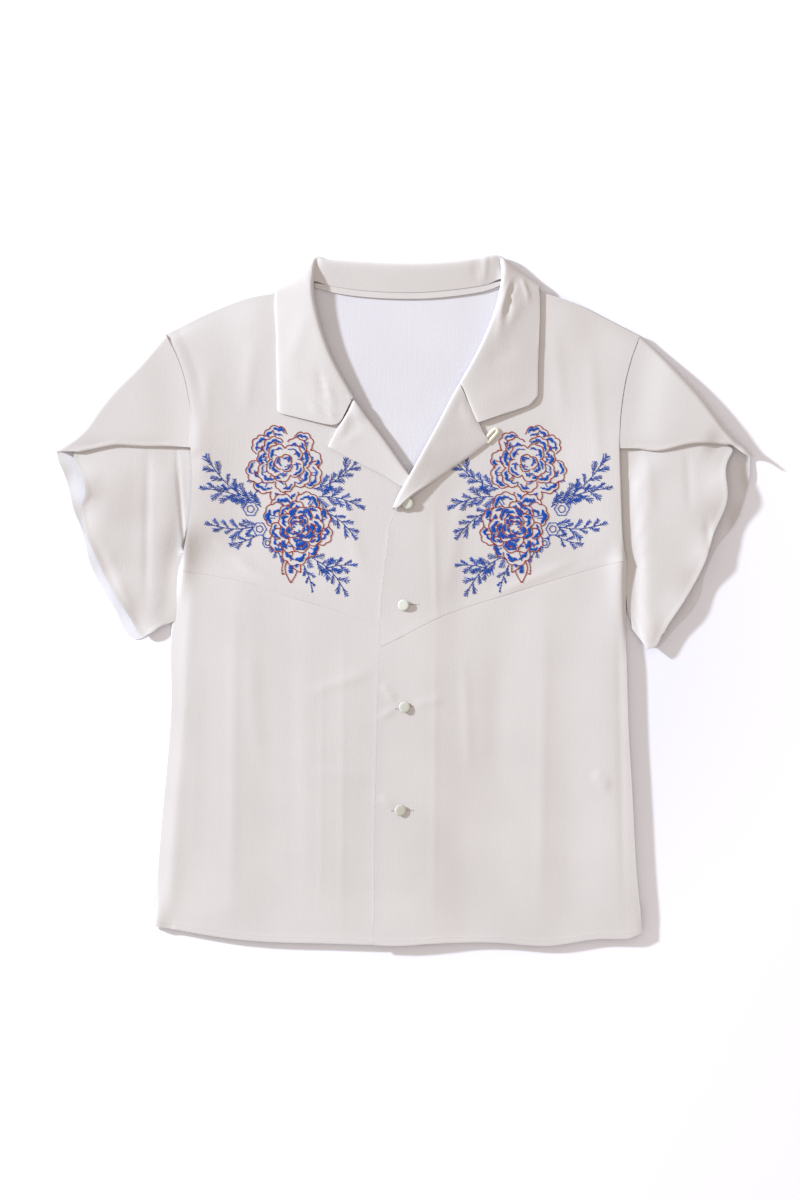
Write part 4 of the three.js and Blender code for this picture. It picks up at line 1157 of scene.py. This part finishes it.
@dataclass(frozen=True)
class LapelLoop:
    """A hairpin of flattened rouleau cord that comes out from under the lapel."""

    foot: Plan = (84.4, 161.6)
    heading: float = math.radians(47)
    cord_mm: float = 3.5
    flat: float = 0.5              # height of the cord as a share of its width
    half_gap_mm: float = 2.3
    reach: tuple[tuple[float, float], ...] = ((-3, 1.0), (3, 1.0), (9, 1.06), (12.4, 0.8), (13.7, 0),
                                              (12.4, -0.8), (9, -1.06), (3, -1.0), (-3, -1.0))

    def build(self, tree: BVHTree, material: bpy.types.Material) -> bpy.types.Object:
        """Lay the cord on the yoke along its hairpin.

        Args:
            tree: The yoke's cloth.
            material: The cord's finish.

        Returns:
            The finished piece.
        """
        curve = bpy.data.curves.new("lapel_loop_cord", "CURVE")
        curve.dimensions = "3D"
        curve.bevel_depth = self.cord_mm * MM / 2
        curve.bevel_resolution = 4
        curve.use_fill_caps = True
        curve.resolution_u = 6
        spline = curve.splines.new("NURBS")
        spline.points.add(len(self.reach) - 1)
        spline.order_u = 4
        spline.use_endpoint_u = True
        heights = []
        for point, (along, aside) in zip(spline.points, self.reach):
            x, y = towards(self.heading + math.pi / 2, aside * self.half_gap_mm,
                           towards(self.heading, along, self.foot))
            heights.append(drop_on(tree, x, y)[0].z)
            point.co = (x * MM, y * MM, 0, 1)
        cord = bpy.data.objects.new("lapel_loop_curve", curve)
        bpy.context.scene.collection.objects.link(cord)
        piece = new_object("lapel_loop_cord", baked(cord))
        bpy.data.objects.remove(cord)
        bed = max(heights) + self.cord_mm * self.flat * MM / 2
        for vert in piece.data.vertices:
            vert.co.z = bed + vert.co.z * self.flat
        dress(piece, material)
        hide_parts("lapel_loop")
        return piece


@dataclass(frozen=True)
class Buttonhole:
    """A worked buttonhole: a slit between two rows of short cross stitches, with a bar at its end, the
    slit's shade painted as a dark thread.
    """

    start: Plan
    end: Plan
    half_width: float = 0.95
    pitch: float = 0.7
    INNER = 0.25                   # where the cross stitches start beside the slit
    CROSS_MM, BAR_MM, SLIT_MM = 0.6, 0.7, 0.5   # widths of the thread, and of the dark thread that paints the slit's shade
    HALF_BAR = 1.3                 # half the length of the bar

    def stitches(self) -> list[Stitch]:
        """The cross stitches along both sides and the bar."""
        length = math.dist(self.start, self.end)
        heading = math.atan2(self.end[1] - self.start[1], self.end[0] - self.start[0])
        across = heading + math.pi / 2
        made = []
        for index in range(max(2, round(length / self.pitch))):
            foot = towards(heading, index * self.pitch, self.start)
            for side in (-1, 1):
                made.append((*towards(across, side * self.INNER, foot),
                             *towards(across, side * self.half_width, foot), self.CROSS_MM))
        made.append((*towards(across, -self.HALF_BAR, self.end),
                     *towards(across, self.HALF_BAR, self.end), self.BAR_MM))
        return made

    def slit(self) -> Stitch:
        """Painted shade of the slit between the rows: a dark thread where there is only the hole's
        shade.
        """
        return (*self.start, *self.end, self.SLIT_MM)


@dataclass(frozen=True)
class HemStitching:
    """A row of small machine stitches above a lower edge, such as the folded hem."""

    x0: float
    x1: float
    low: float = -356.0            # the edge lies between these places up the blouse
    high: float = -300.0
    depth_mm: float = 5.6
    pitch_mm: float = 2.7
    stitch_mm: float = 1.7
    THREAD_MM = 0.55
    CLOSE_MM = 0.2                 # how closely the edge is found

    def stitches(self, tree: BVHTree) -> list[Stitch]:
        """Find the edge below each stitch and set it the row's depth above.

        Args:
            tree: The stitched cloth.

        Returns:
            The stitches, in mm.
        """
        made = []
        for index in range(int((self.x1 - self.x0) / self.pitch_mm)):
            x = self.x0 + index * self.pitch_mm
            low, high = self.low, self.high
            while high - low > self.CLOSE_MM:
                middle = (low + high) / 2
                low, high = (low, middle) if drop_on(tree, x, middle) else (middle, high)
            up = high + self.depth_mm
            made.append((x, up, x + self.stitch_mm, up, self.THREAD_MM))
        return made


def report(piece: bpy.types.Object) -> None:
    """Log a finished piece's name and its number of triangles."""
    triangles = sum(len(polygon.vertices) - 2 for polygon in piece.data.polygons)
    LOG.info("%s: %d triangles", piece.name, triangles)


@dataclass(frozen=True)
class Studio:
    """White sweep, a low key light from the upper left, a wide soft fill and the camera above."""

    frame_mm: tuple[float, float] = (800.0, 1200.0)
    centre_mm: tuple[float, float] = (-3.5, 1.0)
    distance_m: float = 3.2
    sensor_mm: float = 36.0
    key_elevation: float = 17.5
    key_distance_m: float = 5.2    # near enough that the light fades a little across the cloth
    key_heading: float = 156.0     # the side the key light stands on, from +X towards +Y
    key_strength: float = 6.1      # watts per square metre where the blouse lies
    fill_strength: float = 0.76
    key_softness: float = 3.4      # degrees that the key light spans
    key_colour: str = "ebf6ff"
    fill_colour: str = "fff5eb"
    FLOOR_M = 6.0                  # half the sweep's width
    BELOW = 0.2 * MM               # how far it lies under the blouse

    def build(self) -> None:
        """Make the floor, the lights and the camera."""
        self.floor()
        self.lights()
        self.camera()

    def floor(self) -> None:
        """Lay the white sweep just under the blouse."""
        grid = bmesh.new()
        bmesh.ops.create_grid(grid, x_segments=1, y_segments=1, size=self.FLOOR_M,
                              matrix=Matrix.Translation((0, 0, -self.BELOW)))
        floor = new_object("floor", closed(grid, "floor"))
        floor.data.materials.append(FloorFinish().material())

    def lights(self) -> None:
        """Place the key light and fill the room with soft light."""
        key = bpy.data.lights.new("key", "AREA")
        key.energy = self.key_strength * math.pi * self.key_distance_m ** 2
        key.shape = "DISK"
        key.size = 2 * self.key_distance_m * math.tan(math.radians(self.key_softness) / 2)
        key.color = linear_colour(self.key_colour)[:3]
        lamp = bpy.data.objects.new("key", key)
        bpy.context.scene.collection.objects.link(lamp)
        heading, lift = math.radians(self.key_heading), math.radians(self.key_elevation)
        direction = Vector((math.cos(heading) * math.cos(lift), math.sin(heading) * math.cos(lift),
                            math.sin(lift)))
        lamp.location = direction * self.key_distance_m
        lamp.rotation_euler = direction.to_track_quat("Z", "Y").to_euler()
        world = bpy.data.worlds.new("studio")
        bpy.context.scene.world = world
        world.use_nodes = True
        backdrop = world.node_tree.nodes["Background"]
        backdrop.inputs["Color"].default_value = linear_colour(self.fill_colour)
        backdrop.inputs["Strength"].default_value = self.fill_strength
        bpy.context.scene.view_settings.view_transform = "Standard"

    def camera(self) -> None:
        """Hang the camera straight above the photo's centre."""
        lens = bpy.data.cameras.new("camera")
        lens.sensor_width = self.sensor_mm
        lens.lens = self.sensor_mm * self.distance_m / (self.frame_mm[1] * MM)
        camera = bpy.data.objects.new("camera", lens)
        camera.location = (self.centre_mm[0] * MM, self.centre_mm[1] * MM, self.distance_m)
        bpy.context.scene.collection.objects.link(camera)
        bpy.context.scene.camera = camera


FRONT_CREASES = {
    Side.LEFT: (Crease((-168, 12), (-172, -318), 6, 0.26), Crease((-112, -20), (-108, -300), 10, -0.3),
                Crease((-60, -40), (-62, -330), 3.0, 0.16), Crease((-81, -60), (-83, -320), 3.0, 0.14),
                Crease((-150, -40), (-140, -170), 8, 0.3, bow=5),
                Crease((-205, -60), (-212, -250), 8, 0.2),
                Crease((-30, -70), (-95, -92), 6, 0.4), Crease((-34, -180), (-90, -168), 6, 0.35)),
    Side.RIGHT: (Crease((32, -40), (30, -320), 3.0, 0.18), Crease((96, -48), (92, -180), 12, -0.4),
                 Crease((142, -20), (136, -310), 6, 0.26), Crease((214, 0), (220, -300), 4, -0.25),
                 Crease((190, -172), (206, -186), 5, 0.8), Crease((-8, -98), (-22, -84), 3, 0.7),
                 Crease((-8, -108), (-24, -116), 3, 0.5), Crease((-9, -205), (-24, -196), 3, 0.6),
                 Crease((10, -104), (40, -98), 3.5, 0.4), Crease((60, -60), (66, -170), 5, 0.3)),
}
YOKE_CREASES = {
    Side.LEFT: (Crease((-172, 42), (-98, 6), 4.5, 0.7, bow=3), Crease((-158, 30), (-80, -4), 4, 0.5),
                Crease((-190, 60), (-150, 34), 5, 0.5), Crease((-196, 230), (-202, 120), 7, 0.4),
                Crease((-150, 262), (-158, 190), 7, 0.3), Crease((-62, 120), (-40, 20), 7, 0.35)),
    Side.RIGHT: (Crease((168, 38), (92, 8), 4.5, 0.6), Crease((186, 250), (196, 120), 7, 0.4),
                 Crease((150, 270), (160, 180), 7, 0.35), Crease((60, 110), (44, 10), 7, 0.35),
                 Crease((30, 90), (33, -20), 2.6, 0.3)),
}
COLLAR_CREASES = (
    Crease((82, 348), (80, 318), 2.2, 0.9), Crease((76, 346), (75, 322), 2.6, -0.8),
    Crease((106, 318), (96, 268), 3.0, 1.0, bow=3), Crease((112, 320), (104, 276), 2.6, -1.0, bow=3),
    Crease((118, 322), (126, 300), 2.2, 0.8), Crease((100, 300), (112, 306), 2.0, 0.9),
    Crease((92, 262), (118, 300), 6, 0.7), Crease((84, 240), (112, 250), 7, -0.5),
    Crease((76, 200), (120, 214), 9, 0.4), Crease((-76, 220), (-70, 178), 2.2, 1.1),
    Crease((-84, 230), (-78, 196), 3.0, -0.8), Crease((-90, 200), (-86, 186), 3.0, 0.7),
    Crease((-96, 290), (-112, 240), 7, 0.4), Crease((-104, 220), (-120, 250), 8, 0.3),
    Crease((-56, 190), (-62, 164), 3.2, 0.35), Crease((-50, 184), (-44, 160), 4, -0.2),
    Crease((-40, 170), (-60, 156), 4, 0.35), Crease((60, 196), (74, 172), 6, 0.3),
    Crease((30, 150), (58, 150), 7, 0.3),
)
PETAL_CREASES = {
    Side.LEFT: (Crease((-227, 152), (-218, 42), 1.8, -0.7), Crease((-255, 152), (-257, 0), 4, -0.5),
                Crease((-300, 60), (-268, -20), 5, 0.4), Crease((-262, 235), (-238, 170), 8, 0.3)),
    Side.RIGHT: (Crease((240, 152), (248, 90), 6, 0.4), Crease((283, 150), (286, 92), 4, -0.4),
                 Crease((302, 84), (308, 34), 3.5, -0.7), Crease((262, 240), (240, 175), 8, 0.3),
                 Crease((304, 160), (338, 146), 13, -2.2)),
}
CAP_SAGS = {
    Side.LEFT: (Crease((-334, 152), (-218, 152), 9, -1.1),),
    Side.RIGHT: (Crease((218, 152), (322, 152), 9, -0.9), Crease((304, 160), (338, 146), 13, -2.4)),
}
FLANKS = {Side.LEFT: Flank(-262, -216, height=2.7, lean=0.11, spread=30, top=32, fade=34),
          Side.RIGHT: Flank(216, 262, height=6.6, lean=-0.02, spread=75)}


def front_edges(side: Side, part: str) -> tuple[Edge, ...]:
    """Edge rules of a front panel.

    Args:
        side: Its side of the blouse.
        part: "yoke" or "lower".

    Returns:
        The rules: seams drawn together, folded hems and the side turned down to the back.
    """
    sign = side.value
    flank = (min(sign * 216, sign * 260), max(sign * 216, sign * 260))
    lower, yoke = f"{side.word}_front_lower", f"{side.word}_front_yoke"
    low, high = (-336, -50) if part == "lower" else (-38, 95)
    placket = (Edge((-60, 0, low, high), out=-0.3, down=1.1, rise=0.1, reach=4.0, crisp=1.0),)
    if part == "lower":
        rules = (Edge(beside=yoke, out=0.5, down=0.4),
                 Edge((-236, 224, -350, -322), out=-0.2, down=0.9, rise=0.3, reach=5.5, crisp=1.0),
                 *((Edge((-242, -205, -74, 24), out=2.2),) if side is Side.LEFT else ()),
                 Edge((*flank, *SIDE_SEAM_Y), out=0.4, level=1.0, crisp=0.5))
    else:
        rules = (Edge(beside=lower, out=0.55, rise=0.14, reach=5.0),
                 Edge((-245, 245, -60, 150), f"{side.word}_sleeve_front_petal", out=0.3, down=1.5),
                 Edge((-245, 245, 150, 330), f"{side.word}_sleeve_over_petal", out=1.0,
                      rise=0.8 if side is Side.LEFT else 0.0, reach=9, soft=6),
                 Edge((-245, 245, 266, 330), out=0.2, down=0.6))
    return rules + (placket if side is Side.RIGHT else ())


def free_edge(x0: float, x1: float, y0: float, y1: float) -> Edge:
    """The bagged-out edge of the collar or a lapel, turned under out of sight."""
    return Edge((x0, x1, y0, y1), out=-0.25, down=0.8, crisp=1.0)


def petal_edges(side: Side, cap: bool) -> tuple[Edge, ...]:
    """Edge rules of a sleeve's petal: its armhole seam and its narrow rolled hem."""
    sign = side.value
    seam = Edge(beside=f"{side.word}_front_yoke", out=1.0)
    hem_x = sorted((sign * 222, sign * 332)) if cap else sorted((sign * 236, sign * 350))
    hem_y = (147, 160) if cap else (-60, 215)
    hem = Edge((*hem_x, *hem_y), out=-0.2, down=0.8, rise=0.3, reach=3.2, crisp=1.0)
    if cap:
        return seam, hem
    return Edge((-231, -206, -24, 150) if side is Side.LEFT else (214, 227, -32, 150), out=2.8), hem


PANELS = (
    ClothPanel("back", "back_crepe", (500, 660), 0.92, rests_on=("collar_cloth",),
               underside_out=True, levels=1, wall_mm=0.9),
    *(ClothPanel(f"{side.word}_front_yoke", "crepe", (265, 365), 0.68, rests_on=("back_cloth",),
                 levels=3, edges=front_edges(side, "yoke"), creases=YOKE_CREASES[side])
      for side in Side),
    *(ClothPanel(f"{side.word}_front_lower", "crepe", (275, 382), 0.9, rests_on=("back_cloth",),
                 levels=3, edges=front_edges(side, "lower"), creases=FRONT_CREASES[side],
                 flank=FLANKS[side])
      for side in Side),
    *(ClothPanel(f"{side.word}_sleeve_front_petal", "crepe", (118, 262), 0.75,
                 edges=petal_edges(side, False), creases=PETAL_CREASES[side],
                 rests_on=(f"{side.word}_sleeve_over_petal_cloth",)) for side in Side),
    *(ClothPanel(f"{side.word}_sleeve_over_petal", "crepe", (220, 310), 0.6, held="folded",
                 edges=petal_edges(side, True), sags=CAP_SAGS[side]) for side in Side),
    ClothPanel("collar", "crepe", (92, 470), 0.85, held="folded", wall_mm=1.1,
               rests_on=("left_front_yoke_cloth", "right_front_yoke_cloth"),
               edges=(free_edge(-135, -68, 150, 278), free_edge(-135, -118, 278, 306),
                      free_edge(74, 142, 150, 278), free_edge(124, 142, 278, 306),
                      Edge((-68, -46, 150, 206), out=0.4), Edge((52, 74, 150, 220), out=0.4)),
               creases=COLLAR_CREASES),
    ClothPanel("left_lapel", "crepe", (58, 92), 0.7, held="folded", wall_mm=1.1,
               rests_on=("left_front_yoke_cloth",),
               edges=(Edge((-74, -46, 169.5, 206), out=3.2, rise=0.8, reach=8, soft=6),
                      Edge((-9, 4, 115, 134), out=9.0), free_edge(-82, -9, 110, 170)),
               creases=COLLAR_CREASES),
    ClothPanel("right_lapel", "crepe", (60, 120), 0.65, held="folded", wall_mm=1.1,
               rests_on=("right_front_yoke_cloth",),
               edges=(Edge((50, 75, 177, 216), out=2.4, rise=0.6, reach=8, soft=6),
                      free_edge(-14, 92, 88, 176)),
               creases=COLLAR_CREASES),
    ClothPanel("neck_tape", "crepe", (10, 195), 0.6, rests_on=("back_cloth",),
               edges=(Edge((-130, -82, 250, 345), out=5.0), Edge((86, 130, 250, 345), out=5.0),
                      Edge((-82, 86, 250, 345), out=1.2))),
)

# its lighter single-layer colour is partly the paper showing through, partly painted light let through
# by the sheer layers above
CREPE = CrepeFinish("viscose_crepe", "cdc8c9", "c7c2c3", thin="dcdae1")
BACK_CREPE = CrepeFinish("single_layer_crepe", "d5d3db", "cfcdd6", thread_height=0.08)
TRIM = CrepeFinish("cream_bias_satin", "e4e0d2", "d8d2c0", pebble_mm=0.8, roughness=0.55, sheen=0.35)
THREADS = (ThreadFinish("red_rayon_thread", "a01804", "7a0d01"),
           ThreadFinish("blue_rayon_thread", "0052b8", "003c96"),
           ThreadFinish("navy_rayon_thread", "04429a", "022a78"))
SEWING = ThreadFinish("cotton_sewing_thread", "e4dfdc", "d0c8c4", roughness=0.7)
# painted shade: a dark brown thread laid in each buttonhole's slit stands in for the hole's shade
PAINTED_SLIT_SHADE = ThreadFinish("buttonhole_gimp", "a08b7c", "8a7566", roughness=0.8)
BUTTON_CLOTH = CrepeFinish("button_crepe", "cbcdc5", "c1c2ba", roughness=0.7)


BUTTONS = (CoveredButton("top_button", 4, -4, lift_mm=1.9), CoveredButton("upper_button", 5, -9),
           CoveredButton("middle_button", -3, 5), CoveredButton("lower_button", 4, 7, radius_mm=5.9))
BUTTONHOLES = (Buttonhole((5.6, -3.6), (14.6, -3.2)), Buttonhole((5.4, -105.0), (9.4, -104.6)),
               Buttonhole((-8.6, -107.4), (-5.0, -107.0)), Buttonhole((3.0, -208.8), (9.2, -209.0)),
               Buttonhole((-12.6, -209.2), (-9.0, -209.2)))
NECK_ROW = HemStitching(-78, 84, low=298.0, high=332.0, depth_mm=1.3, pitch_mm=2.3, stitch_mm=1.5)
HEM_ROWS = (HemStitching(-249, -38), HemStitching(-34, 234))


def sewing(cloth: dict[str, bpy.types.Object]) -> list[bpy.types.Object]:
    """Sew the hem rows, the neck tape's row and the buttonholes, and lay painted shade in the
    buttonholes' slits.

    Args:
        cloth: The finished panels by their node.

    Returns:
        The pieces of sewing.
    """
    fronts = surface_of(cloth["left_front_lower"], cloth["right_front_lower"],
                        cloth["right_front_yoke"])
    # the second finish is painted shade, for the buttonholes' slits
    thread, slit_shade = SEWING.material(), PAINTED_SLIT_SHADE.material()
    hem = ThreadWork("hem_stitching", fronts)
    for row in HEM_ROWS:
        hem.lay(row.stitches(fronts))
    stand = surface_of(cloth["collar"])
    neck = ThreadWork("neck_stitching", stand)
    neck.lay(NECK_ROW.stitches(stand))
    worked = ThreadWork("buttonhole_stitching", fronts)
    # each slit is one dark thread of painted shade
    slit_shades = ThreadWork("buttonhole_slits", fronts)
    for hole in BUTTONHOLES:
        worked.lay(hole.stitches())
    slit_shades.lay([hole.slit() for hole in BUTTONHOLES])
    sewn = [work.finish(thread, "sewing_thread") for work in (hem, neck, worked)]
    return sewn + [slit_shades.finish(slit_shade, "sewing_thread")]


def main() -> None:
    """Build the blouse piece by piece, then the studio."""
    logging.basicConfig(level=logging.INFO, format="%(name)s %(message)s")
    finishes = {"crepe": CREPE.material(), "back_crepe": BACK_CREPE.material(),
                "trim": TRIM.material(), "button": BUTTON_CLOTH.material()}
    finishes |= {thread.value: finish.material() for thread, finish in zip(Thread, THREADS)}
    cloth = {panel.node: panel.build(finishes[panel.slot]) for panel in PANELS}
    for piece in cloth.values():
        report(piece)
    for side in Side:
        for piece in EmbroideredSpray(side).build(cloth[f"{side.word}_front_yoke"], finishes):
            report(piece)
    for button in BUTTONS:
        report(button.build(finishes["button"]))
    report(LapelLoop().build(surface_of(cloth["right_front_yoke"]), finishes["trim"]))
    for piece in sewing(cloth):
        report(piece)
    Studio().build()


if __name__ == "__main__":
    main()
